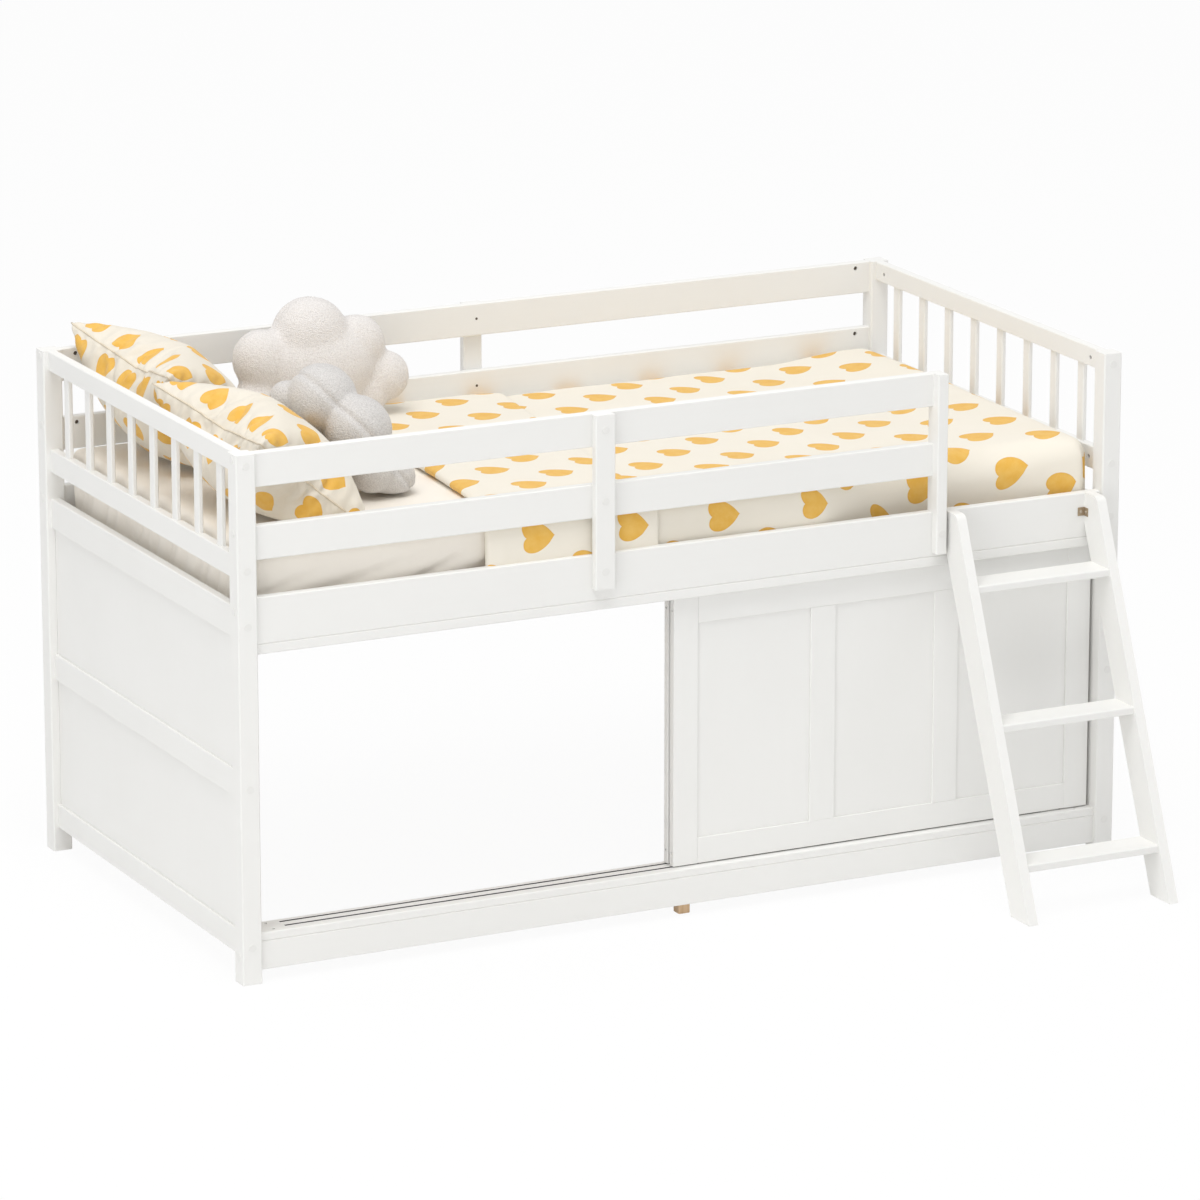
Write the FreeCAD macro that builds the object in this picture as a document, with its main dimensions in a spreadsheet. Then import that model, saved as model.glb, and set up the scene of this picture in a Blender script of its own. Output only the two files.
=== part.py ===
import FreeCAD, Part
import Sketcher
import math
import os
import re

# A low loft bed: panelled ends, guard rails, two sliding doors on twin tracks, a ladder and bedding.
# X runs along the bed from head to foot, Y from front to back, Z up from the floor.

lengths = {
    "bed_length": 2010,
    "bed_width": 1050,
    "bed_height": 1090,
    "post_side": 42,
    "board_thickness": 20,
    "edge_easing": 2,
    "post_easing": 2.5,
    "overrun": 5,
    # Guard rails and side rails, stacked downwards from the top of the posts.
    "guard_rail_height": 70,
    "guard_gap": 78,
    "side_gap": 76,
    "side_rail_height": 96,
    "guard_post_width": 44,
    "guard_post_thickness": 19,
    "guard_post_lap": 70,
    "guard_post_drop": 2,
    "guard_post_place": 804,
    "entry_post_width": 24,
    "entry_post_lap": 86,
    "entry_post_reach": 23,
    "entry_width": 378,
    # End frames.
    "top_rail_height": 42,
    "end_slat_height": 169,
    "end_slat_width": 25,
    "end_slat_thickness": 10,
    "end_slat_margin": 71,
    "end_guard_height": 49,
    "upper_rail_drop": 23,
    "upper_rail_height": 65,
    "middle_rail_height": 57,
    "lower_panel_height": 275,
    "bottom_rail_height": 52,
    "bottom_rail_lift": 51,
    "panel_thickness": 6,
    "panel_groove": 8,
    "panel_play": 0.3,
    # Door opening and tracks.
    "front_rail_lift": 25,
    "front_rail_height": 60,
    "track_depth": 69,
    "lower_track_thickness": 17.5,
    "upper_track_thickness": 21,
    "channel_width": 7,
    "channel_depth": 11,
    "channel_wall": 1,
    "channel_margin": 65,
    "track_screw_margin": 36,
    "track_screw_inset": 15,
    "track_screw_bore": 8,
    "track_screw_depth": 10,
    "support_leg_side": 26,
    # Sliding doors.
    "door_width": 984,
    "door_thickness": 17,
    "door_gap": 9,
    "door_setback": 17,
    "door_side_gap": 7,
    "door_lift": 2.5,
    "door_head_gap": 2,
    "door_stile_width": 56,
    "door_mullion_width": 58,
    "door_centre_panel": 233,
    "door_top_rail": 58,
    "door_bottom_rail": 55,
    "door_panel_thickness": 6,
    "door_panel_recess": 4.5,
    "door_groove": 6,
    "door_screw_bore": 6,
    "door_screw_depth": 12,
    "door_screw_margin": 27,
    "glide_length": 40,
    "glide_margin": 65,
    "glide_play": 0.3,
    # Ladder.
    "ladder_width": 357,
    "ladder_offset": 7,
    "ladder_stile_thickness": 22,
    "ladder_stile_depth": 75,
    "ladder_reach": 375,
    "ladder_top_depth": 48.5,
    "ladder_top_round": 18,
    "rung_thickness": 16,
    "first_rung_height": 115,
    "top_rung_drop": 141,
    "bracket_leaf": 16,
    "bracket_height": 18,
    "bracket_thickness": 1.5,
    "bracket_drop": 31,
    # Sleeping base.
    "ledger_width": 25,
    "ledger_height": 18,
    "bed_slat_width": 70,
    "bed_slat_thickness": 16,
    "bed_slat_margin": 30,
    "bed_slat_play": 1,
    # Connecting bolts and barrel nuts.
    "bolt_diameter": 6,
    "bolt_play": 0.5,
    "bolt_tip": 10,
    "cap_diameter": 16,
    "cap_thickness": 1.2,
    "nut_diameter": 10,
    "nut_length": 11,
    "nut_play": 0.3,
    "nut_setback": 35,
    "nut_depth": 16,
    "top_bolt_drop": 23,
    "guard_bolt_drop": 13,
    "side_bolt_drop": 26,
    "cap_drop": 33,
    # Bedding.
    "mattress_thickness": 146,
    "mattress_round": 24,
    "mattress_end_gap": 10.5,
    "mattress_side_gap": 14,
    "soft_play": 0.3,
    "quilt_thickness": 8,
    "quilt_head_front": 585,
    "quilt_head_back": 650,
    "quilt_drop": 120,
    "flap_thickness": 12,
    "flap_width": 385,
    "pillow_front_margin": 61,
    "pillow_gap": 4,
    "pillow_back_overhang": 5,
    "pillow_half_thickness": 74,
    "pillow_edge": 3,
    "pillow_front_head": 78,
    "pillow_front_run": 255,
    "pillow_front_rise": 200,
    "pillow_back_head": 60,
    "pillow_back_run": 240,
    "pillow_back_rise": 258,
    "large_cloud_width": 416,
    "large_cloud_height": 268,
    "large_cloud_thickness": 150,
    "large_cloud_head": 600,
    "large_cloud_back": 150,
    "small_cloud_width": 310,
    "small_cloud_height": 240,
    "small_cloud_thickness": 140,
    "small_cloud_head": 448,
    "small_cloud_front": 480,
}
end_slat_count = 8
bed_slat_count = 12
rung_count = 3
# Small round pieces and stuffed forms have flats, so that they stay light.
bolt_sides = 6
cap_sides = 12
pillow_flat_count = 10
lobe_flat_count = 6
# Two lengths count as equal, and an edge as straight along an axis, from this share up.
equal_share = 0.999
# Angles in degrees.
quarter_angle = 90
half_angle = 180
large_cloud_angle = 84
small_cloud_angle = 42

doc = FreeCAD.newDocument("loft_bed")
sheet = doc.addObject("Spreadsheet::Sheet", "sizes")
for row, (alias, length) in enumerate(lengths.items(), start=1):
    sheet.set(f"A{row}", alias)
    sheet.set(f"B{row}", str(length))
    sheet.setAlias(f"B{row}", alias)
doc.recompute()

# Places that several pieces share, worked out from the sheet's sizes.
inset = "((post_side - board_thickness) / 2)"
inner_face = "((post_side + board_thickness) / 2)"
side_top = "(bed_height - 2 * guard_rail_height - guard_gap - side_gap)"
side_bottom = f"({side_top} - side_rail_height)"
upper_track_bottom = f"({side_bottom} - upper_track_thickness)"
lower_track_bottom = "(front_rail_lift + front_rail_height)"
lower_track_top = f"({lower_track_bottom} + lower_track_thickness)"
lower_guard_top = "(bed_height - guard_rail_height - guard_gap)"
top_rail_bottom = "(bed_height - top_rail_height)"
end_guard_top = f"({top_rail_bottom} - end_slat_height)"
upper_rail_top = f"({side_top} - upper_rail_drop)"
upper_rail_bottom = f"({upper_rail_top} - upper_rail_height)"
bottom_rail_top = "(bottom_rail_lift + bottom_rail_height)"
middle_rail_bottom = f"({bottom_rail_top} + lower_panel_height)"
middle_rail_top = f"({middle_rail_bottom} + middle_rail_height)"
post_span = "(bed_length - 2 * post_side)"
post_depth = "(bed_width - 2 * post_side)"
entry_post_right = "(bed_length - post_side - entry_width)"
entry_post_left = f"({entry_post_right} - entry_post_width)"
slat_bottom = f"({side_bottom} + ledger_height)"
mattress_bottom = f"({slat_bottom} + bed_slat_thickness)"
mattress_top = f"({mattress_bottom} + mattress_thickness)"
mattress_start = "(post_side + mattress_end_gap)"
mattress_end = "(bed_length - post_side - mattress_end_gap)"
mattress_front = f"({inner_face} + mattress_side_gap)"
mattress_back = f"(bed_width - {inner_face} - mattress_side_gap)"
back_reach = f"(bed_width - {inset} + guard_post_thickness)"
depth_centre = f"(({inset} - ladder_reach + {back_reach} + cap_thickness) / 2)"

axis_turns = {
    "x": FreeCAD.Rotation(FreeCAD.Vector(0, 1, 0), quarter_angle),
    "y": FreeCAD.Rotation(FreeCAD.Vector(1, 0, 0), -quarter_angle),
    "z": FreeCAD.Rotation(),
}
axis_planes = {"x": "YZ_Plane", "y": "XZ_Plane", "z": "XY_Plane"}
axis_vectors = {
    "x": FreeCAD.Vector(1, 0, 0),
    "y": FreeCAD.Vector(0, 1, 0),
    "z": FreeCAD.Vector(0, 0, 1),
}
nodes = {}


def sized(text):
    return re.sub(r"[a-z][a-z_]*", r"sizes.\g<0>", text)


def size(alias):
    return float(sheet.get(alias))


def place(piece, corner):
    x, y, z = corner
    piece.setExpression("Placement.Base.x", sized(f"{x} - bed_length / 2"))
    piece.setExpression("Placement.Base.y", sized(f"{y} - {depth_centre}"))
    piece.setExpression("Placement.Base.z", sized(f"{z}"))
    return piece


def new_sketch(body, axis):
    sketch = body.newObject("Sketcher::SketchObject", body.Name + "_profile")
    role = axis_planes[axis]
    plane = [feature for feature in body.Origin.OriginFeatures if feature.Role == role][0]
    sketch.AttachmentSupport = [(plane, "")]
    sketch.MapMode = "FlatFace"
    return sketch


def outline(sketch, points):
    # Closes a line loop whose corners each stand at a pair of sizes from the sketch's origin.
    count = len(points)
    for index in range(count):
        turn = 2 * math.pi * index / count
        following = 2 * math.pi * (index + 1) / count
        start = FreeCAD.Vector(math.cos(turn), math.sin(turn), 0)
        end = FreeCAD.Vector(math.cos(following), math.sin(following), 0)
        sketch.addGeometry(Part.LineSegment(start, end), False)
    for index in range(count):
        sketch.addConstraint(Sketcher.Constraint("Coincident", index, 2, (index + 1) % count, 1))
    for index, point in enumerate(points):
        for kind, axis_line, text in (("DistanceX", -2, point[0]), ("DistanceY", -1, point[1])):
            if text == "0":
                sketch.addConstraint(Sketcher.Constraint("PointOnObject", index, 1, axis_line))
            else:
                number = sketch.addConstraint(Sketcher.Constraint(kind, -1, 1, index, 1, 1.0))
                sketch.setExpression(f"Constraints[{number}]", sized(text))


def extruded(label, axis, points, length):
    # A profile drawn across an axis and carried along it.
    body = doc.addObject("PartDesign::Body", label)
    sketch = new_sketch(body, axis)
    outline(sketch, points)
    pad = body.newObject("PartDesign::Pad", label + "_pad")
    pad.Profile = sketch
    pad.Reversed = axis == "y"
    pad.setExpression("Length", sized(length))
    sketch.Visibility = False
    doc.recompute()
    return body, pad


def edges_where(shape, test):
    return [f"Edge{number}" for number, edge in enumerate(shape.Edges, start=1) if test(edge)]


def along(edge, axis):
    span = edge.Vertexes[-1].Point - edge.Vertexes[0].Point
    return span.Length > 0 and abs(span.dot(axis_vectors[axis])) > equal_share * span.Length


def rounded(body, base, radius, test):
    fillet = body.newObject("PartDesign::Fillet", body.Name + "_rounding")
    fillet.Base = (base, edges_where(base.Shape, test))
    fillet.setExpression("Radius", sized(radius))


def eased(body, base, easing, test):
    chamfer = body.newObject("PartDesign::Chamfer", body.Name + "_easing")
    chamfer.Base = (base, edges_where(base.Shape, test))
    chamfer.setExpression("Size", sized(easing))


def board(label, spans, corner, axis, easing="edge_easing"):
    # A planed board: rectangular section, long edges eased.
    section = [span for name, span in zip("xyz", spans) if name != axis]
    across, up = section
    body, pad = extruded(label, axis, [("0", "0"), (across, "0"), (across, up), ("0", up)],
                       spans["xyz".index(axis)])
    eased(body, pad, easing, lambda edge: along(edge, axis))
    return place(body, corner)


def block(label, spans, corner):
    box = doc.addObject("Part::Box", label)
    for name, span in zip(("Length", "Width", "Height"), spans):
        box.setExpression(name, sized(span))
    return place(box, corner)


def rod(label, diameter, length, start, axis, sides=bolt_sides):
    prism = doc.addObject("Part::Prism", label)
    prism.Polygon = sides
    prism.setExpression("Circumradius", sized(f"({diameter}) / 2"))
    prism.setExpression("Height", sized(length))
    prism.Placement = FreeCAD.Placement(FreeCAD.Vector(), axis_turns[axis])
    return place(prism, start)


def cut_from(blank, label, tools):
    if not tools:
        return blank
    tool = tools[0]
    if len(tools) > 1:
        tool = doc.addObject("Part::MultiFuse", label + "_tools")
        tool.Shapes = tools
    cut = doc.addObject("Part::Cut", label + "_cut")
    cut.Base = blank
    cut.Tool = tool
    return cut


def group(label, pieces):
    compound = doc.addObject("Part::Compound", label + "_set")
    compound.Links = pieces
    return compound


def node(label, piece):
    nodes[label] = piece


# Bores and grooves are collected for each board and cut when the board is finished.
blanks = {}
cutters = {}


def blank(label, piece):
    blanks[label] = piece
    cutters.setdefault(label, [])


def cutter(tool, labels):
    for label in labels:
        cutters.setdefault(label, []).append(tool)


# Corner posts.
post_places = {
    "post_front_left": ("0", "0"),
    "post_front_right": ("bed_length - post_side", "0"),
    "post_back_left": ("0", "bed_width - post_side"),
    "post_back_right": ("bed_length - post_side", "bed_width - post_side"),
}
for label, (x, y) in post_places.items():
    blank(label, board(label, ("post_side", "post_side", "bed_height"), (x, y, "0"), "z", "post_easing"))

# End frames: rails between the posts, slats above the guard rail and two panels below.
end_rails = {
    "top_rail": (top_rail_bottom, "top_rail_height"),
    "guard_rail": (f"{end_guard_top} - end_guard_height", "end_guard_height"),
    "upper_panel_rail": (upper_rail_bottom, "upper_rail_height"),
    "middle_panel_rail": (middle_rail_bottom, "middle_rail_height"),
    "bottom_rail": ("bottom_rail_lift", "bottom_rail_height"),
}
end_panels = {
    "upper_panel": (middle_rail_top, upper_rail_bottom, ("upper_panel_rail", "middle_panel_rail")),
    "lower_panel": (bottom_rail_top, middle_rail_bottom, ("middle_panel_rail", "bottom_rail")),
}
ends = {
    "head": (inset, "left"),
    "foot": (f"bed_length - {inner_face}", "right"),
}
slat_pitch = f"(({post_depth} - 2 * end_slat_margin - end_slat_width) / {end_slat_count - 1})"
for end, (x, hand) in ends.items():
    for name, (bottom, height) in end_rails.items():
        label = f"{end}_{name}"
        blank(label, board(label, ("board_thickness", post_depth, height), (x, "post_side", bottom), "y"))
    slats = []
    for index in range(end_slat_count):
        y = f"post_side + end_slat_margin + {index} * {slat_pitch}"
        slats.append(board(f"{end}_slat_{index + 1}",
                           ("end_slat_thickness", "end_slat_width", "end_slat_height"),
                           (f"{x} + (board_thickness - end_slat_thickness) / 2", y, end_guard_top), "z"))
    node(f"{end}_slats", group(f"{end}_slats", slats))
    for name, (bottom, top, rails) in end_panels.items():
        label = f"{end}_{name}"
        panel_x = f"{x} + (board_thickness - panel_thickness) / 2"
        node(label, block(label, ("panel_thickness", f"{post_depth} + 2 * panel_groove",
                                  f"{top} - {bottom} + 2 * panel_groove"),
                          (panel_x, "post_side - panel_groove", f"{bottom} - panel_groove")))
        groove = block(label + "_groove", ("panel_thickness + 2 * panel_play",
                                           f"{post_depth} + 2 * panel_groove + 2 * panel_play",
                                           f"{top} - {bottom} + 2 * panel_groove + 2 * panel_play"),
                       (f"{panel_x} - panel_play", "post_side - panel_groove - panel_play",
                        f"{bottom} - panel_groove - panel_play"))
        cutter(groove, [f"{end}_{rail}" for rail in rails])
        cutter(groove, [f"post_front_{hand}", f"post_back_{hand}"])

# Long rails of the back and front.
back_y = f"bed_width - {inner_face}"
long_rails = {
    "back_upper_guard_rail": (post_span, back_y, "bed_height - guard_rail_height", "guard_rail_height"),
    "back_lower_guard_rail": (post_span, back_y, f"{lower_guard_top} - guard_rail_height",
                              "guard_rail_height"),
    "back_side_rail": (post_span, back_y, side_bottom, "side_rail_height"),
    "front_upper_guard_rail": (f"{entry_post_left} - post_side", inset, "bed_height - guard_rail_height",
                               "guard_rail_height"),
    "front_lower_guard_rail": (f"{entry_post_left} - post_side", inset,
                               f"{lower_guard_top} - guard_rail_height", "guard_rail_height"),
    "front_side_rail": (post_span, inset, side_bottom, "side_rail_height"),
    "bottom_front_rail": (post_span, inset, "front_rail_lift", "front_rail_height"),
}
for label, (length, y, bottom, height) in long_rails.items():
    blank(label, board(label, (length, "board_thickness", height), ("post_side", y, bottom), "x"))

# Upright guard posts: one lapped on the outside of each long guard, one that ends the front guard.
guard_post_bottom = f"({side_top} - guard_post_lap)"
guard_post_height = f"bed_height - guard_post_drop - {guard_post_bottom}"
guard_post_spans = ("guard_post_width", "guard_post_thickness", guard_post_height)
blank("front_guard_post", board("front_guard_post", guard_post_spans,
                                ("guard_post_place - guard_post_width / 2",
                                 f"{inset} - guard_post_thickness", guard_post_bottom), "z"))
blank("back_guard_post", board("back_guard_post", guard_post_spans,
                               ("bed_length / 2 - guard_post_width / 2", f"bed_width - {inset}",
                                guard_post_bottom), "z"))
entry_profile = [
    ("0", "0"),
    ("entry_post_reach", "0"),
    ("entry_post_reach", "entry_post_lap"),
    ("entry_post_reach + board_thickness", "entry_post_lap"),
    ("entry_post_reach + board_thickness", f"bed_height - {side_top} + entry_post_lap"),
    ("0", f"bed_height - {side_top} + entry_post_lap"),
]
entry_post, entry_pad = extruded("entry_guard_post", "x", entry_profile, "entry_post_width")
eased(entry_post, entry_pad, "edge_easing", lambda edge: along(edge, "z"))
blank("entry_guard_post", place(entry_post, (entry_post_left, f"{inset} - entry_post_reach",
                                             f"{side_top} - entry_post_lap")))

# Track boards above and below the door opening, with grooved channels let into them.
blank("bottom_track_board", board("bottom_track_board", (post_span, "track_depth", "lower_track_thickness"),
                                  ("post_side", inset, lower_track_bottom), "x"))
blank("top_track_board", board("top_track_board", (post_span, "track_depth", "upper_track_thickness"),
                               ("post_side", inset, upper_track_bottom), "x"))
front_door_y = f"({inset} + door_setback)"
rear_door_y = f"({front_door_y} + door_thickness + door_gap)"
channel_length = f"{post_span} - 2 * channel_margin"
channel_profile = [
    ("0", "0"),
    ("channel_width", "0"),
    ("channel_width", "channel_depth"),
    ("channel_width - channel_wall", "channel_depth"),
    ("channel_width - channel_wall", "channel_wall"),
    ("channel_wall", "channel_wall"),
    ("channel_wall", "channel_depth"),
    ("0", "channel_depth"),
]
ceiling_profile = [(across, f"channel_depth - ({up})") for across, up in channel_profile]
ceiling_profile = [(across, "0" if up == "channel_depth - (channel_depth)" else up)
                   for across, up in ceiling_profile]
channels = []
for door, door_y in (("front", front_door_y), ("rear", rear_door_y)):
    channel_y = f"{door_y} + (door_thickness - channel_width) / 2"
    for level, profile, bottom, track in (
            ("floor", channel_profile, f"{lower_track_top} - channel_depth", "bottom_track_board"),
            ("ceiling", ceiling_profile, upper_track_bottom, "top_track_board")):
        corner = ("post_side + channel_margin", channel_y, bottom)
        channel, channel_pad = extruded(f"{door}_{level}_channel", "x", profile, channel_length)
        channels.append(place(channel, corner))
        slot = block(f"{door}_{level}_slot", (channel_length, "channel_width", "channel_depth"), corner)
        cutter(slot, [track])
node("track_channels", group("track_channels", channels))
for x in ("post_side + track_screw_margin", "bed_length - post_side - track_screw_margin"):
    for y in (f"{inset} + track_screw_inset", f"{inset} + track_depth - track_screw_inset"):
        hole = rod("track_screw_hole", "track_screw_bore", "track_screw_depth + overrun",
                   (x, y, f"{lower_track_top} - track_screw_depth"), "z")
        cutter(hole, ["bottom_track_board"])
node("centre_support_leg", board("centre_support_leg",
                                 ("support_leg_side", "support_leg_side", lower_track_bottom),
                                 ("bed_length / 2 - support_leg_side / 2", inner_face, "0"), "z"))

# Sliding doors: stiles, rails and mullions around three panels held in grooves.
door_left = "(bed_length - post_side - door_side_gap - door_width)"
door_bottom = f"({lower_track_top} + door_lift)"
door_height = f"({upper_track_bottom} - door_head_gap - {door_bottom})"
panel_bottom = f"({door_bottom} + door_bottom_rail)"
panel_height = f"({door_height} - door_bottom_rail - door_top_rail)"
side_panel = "((door_width - 2 * door_stile_width - 2 * door_mullion_width - door_centre_panel) / 2)"
first_mullion = f"({door_left} + door_stile_width + {side_panel})"
second_mullion = f"({first_mullion} + door_mullion_width + door_centre_panel)"
fin_width = "channel_width - 2 * channel_wall - 2 * glide_play"
for door, y in (("front_door", front_door_y), ("rear_door", rear_door_y)):
    rail_length = "door_width - 2 * door_stile_width"
    rail_x = f"{door_left} + door_stile_width"
    door_boards = {
        "left_stile": (("door_stile_width", "door_thickness", door_height), (door_left, y, door_bottom), "z"),
        "right_stile": (("door_stile_width", "door_thickness", door_height),
                        (f"{door_left} + door_width - door_stile_width", y, door_bottom), "z"),
        "top_rail": ((rail_length, "door_thickness", "door_top_rail"),
                     (rail_x, y, f"{panel_bottom} + {panel_height}"), "x"),
        "bottom_rail": ((rail_length, "door_thickness", "door_bottom_rail"), (rail_x, y, door_bottom), "x"),
        "left_mullion": (("door_mullion_width", "door_thickness", panel_height),
                         (first_mullion, y, panel_bottom), "z"),
        "right_mullion": (("door_mullion_width", "door_thickness", panel_height),
                          (second_mullion, y, panel_bottom), "z"),
    }
    made = {name: board(f"{door}_{name}", spans, corner, axis, "edge_easing / 2")
            for name, (spans, corner, axis) in door_boards.items()}
    door_cutters = {name: [] for name in made}
    panels = []
    panel_bays = (
        (f"{door_left} + door_stile_width", side_panel, ("left_stile", "left_mullion")),
        (f"{first_mullion} + door_mullion_width", "door_centre_panel", ("left_mullion", "right_mullion")),
        (f"{second_mullion} + door_mullion_width", side_panel, ("right_mullion", "right_stile")),
    )
    for number, (x, width, uprights) in enumerate(panel_bays, start=1):
        wide = f"{width} + 2 * door_groove"
        tall = f"{panel_height} + 2 * door_groove"
        corner = (f"{x} - door_groove", f"{y} + door_panel_recess", f"{panel_bottom} - door_groove")
        panels.append(block(f"{door}_panel_{number}", (wide, "door_panel_thickness", tall), corner))
        groove = block(f"{door}_groove_{number}",
                       (f"{wide} + 2 * panel_play", "door_panel_thickness + 2 * panel_play",
                        f"{tall} + 2 * panel_play"), [f"{value} - panel_play" for value in corner])
        for name in uprights + ("top_rail", "bottom_rail"):
            door_cutters[name].append(groove)
    edge_starts = {
        "left_stile": f"{door_left} - overrun",
        "right_stile": f"{door_left} + door_width - door_screw_depth",
    }
    for name, x in edge_starts.items():
        for z in ("door_screw_margin", f"{door_height} - door_screw_margin"):
            hole = rod(f"{door}_screw_hole", "door_screw_bore", "door_screw_depth + overrun",
                       (x, f"{y} + door_thickness / 2", f"{door_bottom} + {z}"), "x")
            door_cutters[name].append(hole)
    finished = {name: cut_from(piece, f"{door}_{name}", door_cutters[name]) for name, piece in made.items()}
    node(f"{door}_stiles", group(f"{door}_stiles", [finished["left_stile"], finished["right_stile"]]))
    node(f"{door}_rails", group(f"{door}_rails", [finished["top_rail"], finished["bottom_rail"]]))
    node(f"{door}_mullions", group(f"{door}_mullions", [finished["left_mullion"], finished["right_mullion"]]))
    node(f"{door}_panels", group(f"{door}_panels", panels))
    # Nylon glides under and over each end of the door, with fins that run in the channels.
    glides = []
    floor_fin = "door_lift + channel_depth - channel_wall - glide_play"
    ceiling_fin = "door_head_gap + channel_depth - channel_wall - glide_play"
    fin_levels = (
        (f"{door_bottom} - ({floor_fin})", floor_fin),
        (f"{door_bottom} + {door_height}", ceiling_fin),
    )
    for x in (f"{door_left} + glide_margin", f"{door_left} + door_width - glide_margin - glide_length"):
        for z, fin in fin_levels:
            fin_y = f"{y} + door_thickness / 2 - ({fin_width}) / 2"
            glides.append(block(f"{door}_glide", ("glide_length", fin_width, fin), (x, fin_y, z)))
    node(f"{door}_glides", group(f"{door}_glides", glides))

# Ladder: raked stiles cut plumb where they meet the side rail, with rungs between them.
ladder_left = f"({entry_post_right} + ladder_offset)"
rake = f"((ladder_reach - ladder_top_depth) / {side_top})"
stile_profile = [
    ("0", "0"),
    ("ladder_stile_depth", "0"),
    ("ladder_reach", f"(ladder_reach - ladder_stile_depth) / {rake}"),
    ("ladder_reach", side_top),
    ("ladder_reach - ladder_top_depth", side_top),
]
ladder_foot_y = f"({inset} - ladder_reach)"
for label, x in (("ladder_left_stile", ladder_left),
                 ("ladder_right_stile", f"{ladder_left} + ladder_width - ladder_stile_thickness")):
    stile, stile_pad = extruded(label, "x", stile_profile, "ladder_stile_thickness")
    tall = stile_pad.Shape.BoundBox.ZMax
    deep = stile_pad.Shape.BoundBox.YMax
    rounded(stile, stile_pad, "ladder_top_round",
            lambda edge: along(edge, "x") and edge.Vertexes[0].Point.z > equal_share * tall
            and edge.Vertexes[0].Point.y < equal_share * deep)
    node(label, place(stile, (x, ladder_foot_y, "0")))
rungs = []
rung_rise = f"(({side_top} - top_rung_drop - first_rung_height) / {rung_count - 1})"
for index in range(rung_count):
    top = f"(first_rung_height + {index} * {rung_rise})"
    rungs.append(board(f"ladder_rung_{index + 1}",
                       ("ladder_width - 2 * ladder_stile_thickness", "ladder_stile_depth", "rung_thickness"),
                       (f"{ladder_left} + ladder_stile_thickness", f"{ladder_foot_y} + {top} * {rake}",
                        f"{top} - rung_thickness"), "x"))
node("ladder_rungs", group("ladder_rungs", rungs))
left_bracket = [
    ("0", "0"),
    ("0", "-bracket_leaf"),
    ("bracket_thickness", "-bracket_leaf"),
    ("bracket_thickness", "-bracket_thickness"),
    ("bracket_leaf", "-bracket_thickness"),
    ("bracket_leaf", "0"),
]
right_bracket = [("0" if across == "0" else f"-{across}", back) for across, back in left_bracket]
brackets = []
for hand, profile, x in (("left", left_bracket, f"{ladder_left} + ladder_stile_thickness"),
                         ("right", right_bracket, f"{ladder_left} + ladder_width - ladder_stile_thickness")):
    bracket, bracket_pad = extruded(f"ladder_{hand}_bracket", "z", profile, "bracket_height")
    brackets.append(place(bracket, (x, inset, f"{side_top} - bracket_drop - bracket_height")))
node("ladder_brackets", group("ladder_brackets", brackets))

# Sleeping base: ledgers on the inner faces of the side rails carry the cross slats.
ledgers = []
for hand, y in (("front", inner_face), ("back", f"bed_width - {inner_face} - ledger_width")):
    ledgers.append(board(f"{hand}_slat_ledger", (post_span, "ledger_width", "ledger_height"),
                         ("post_side", y, side_bottom), "x"))
node("slat_ledgers", group("slat_ledgers", ledgers))
bed_slats = []
bed_slat_length = f"bed_width - 2 * {inner_face} - 2 * bed_slat_play"
bed_slat_pitch = f"(({post_span} - 2 * bed_slat_margin - bed_slat_width) / {bed_slat_count - 1})"
for index in range(bed_slat_count):
    x = f"post_side + bed_slat_margin + {index} * {bed_slat_pitch}"
    bed_slats.append(board(f"bed_slat_{index + 1}", ("bed_slat_width", bed_slat_length, "bed_slat_thickness"),
                           (x, f"{inner_face} + bed_slat_play", slat_bottom), "y"))
node("bed_slats", group("bed_slats", bed_slats))

# Connecting bolts run through the posts into the rails' ends, where barrel nuts hold them.
bolts = []
nuts = []
caps = []
bore = "bolt_diameter + bolt_play"
nut_bore = "nut_diameter + nut_play"
bolt_length = "(post_side + nut_setback + bolt_tip)"


def bolt(tag, head, axis, sense, length, labels):
    # A bolt from its head point along an axis, with its bore in the boards that it passes.
    start = list(head)
    index = "xyz".index(axis)
    cap_start = list(head)
    if sense < 0:
        start[index] = f"{head[index]} - {length}"
    else:
        cap_start[index] = f"{head[index]} - cap_thickness"
    tool = rod(f"{tag}_bore", bore, length, start, axis)
    cutter(tool, labels)
    bolts.append(rod(f"{tag}_bolt", "bolt_diameter", length, start, axis))
    caps.append(rod(f"{tag}_cap", "cap_diameter", "cap_thickness", cap_start, axis, cap_sides))
    return tool


def nut(tag, centre, axis, sense, tool, rail):
    # A barrel nut let into a rail's inner face, across the bolt.
    index = "xyz".index(axis)
    hole_start = list(centre)
    nut_start = list(centre)
    face = f"{centre[index]} + {sense} * board_thickness / 2"
    nut_start[index] = f"{centre[index]} - nut_length / 2"
    hole_start[index] = f"{face} - nut_depth" if sense > 0 else f"{face} - overrun"
    cutter(rod(f"{tag}_nut_hole", nut_bore, "nut_depth + overrun", hole_start, axis), [rail])
    body = rod(f"{tag}_nut", "nut_diameter", "nut_length", nut_start, axis)
    nuts.append(cut_from(body, f"{tag}_nut", [tool]))


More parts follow.
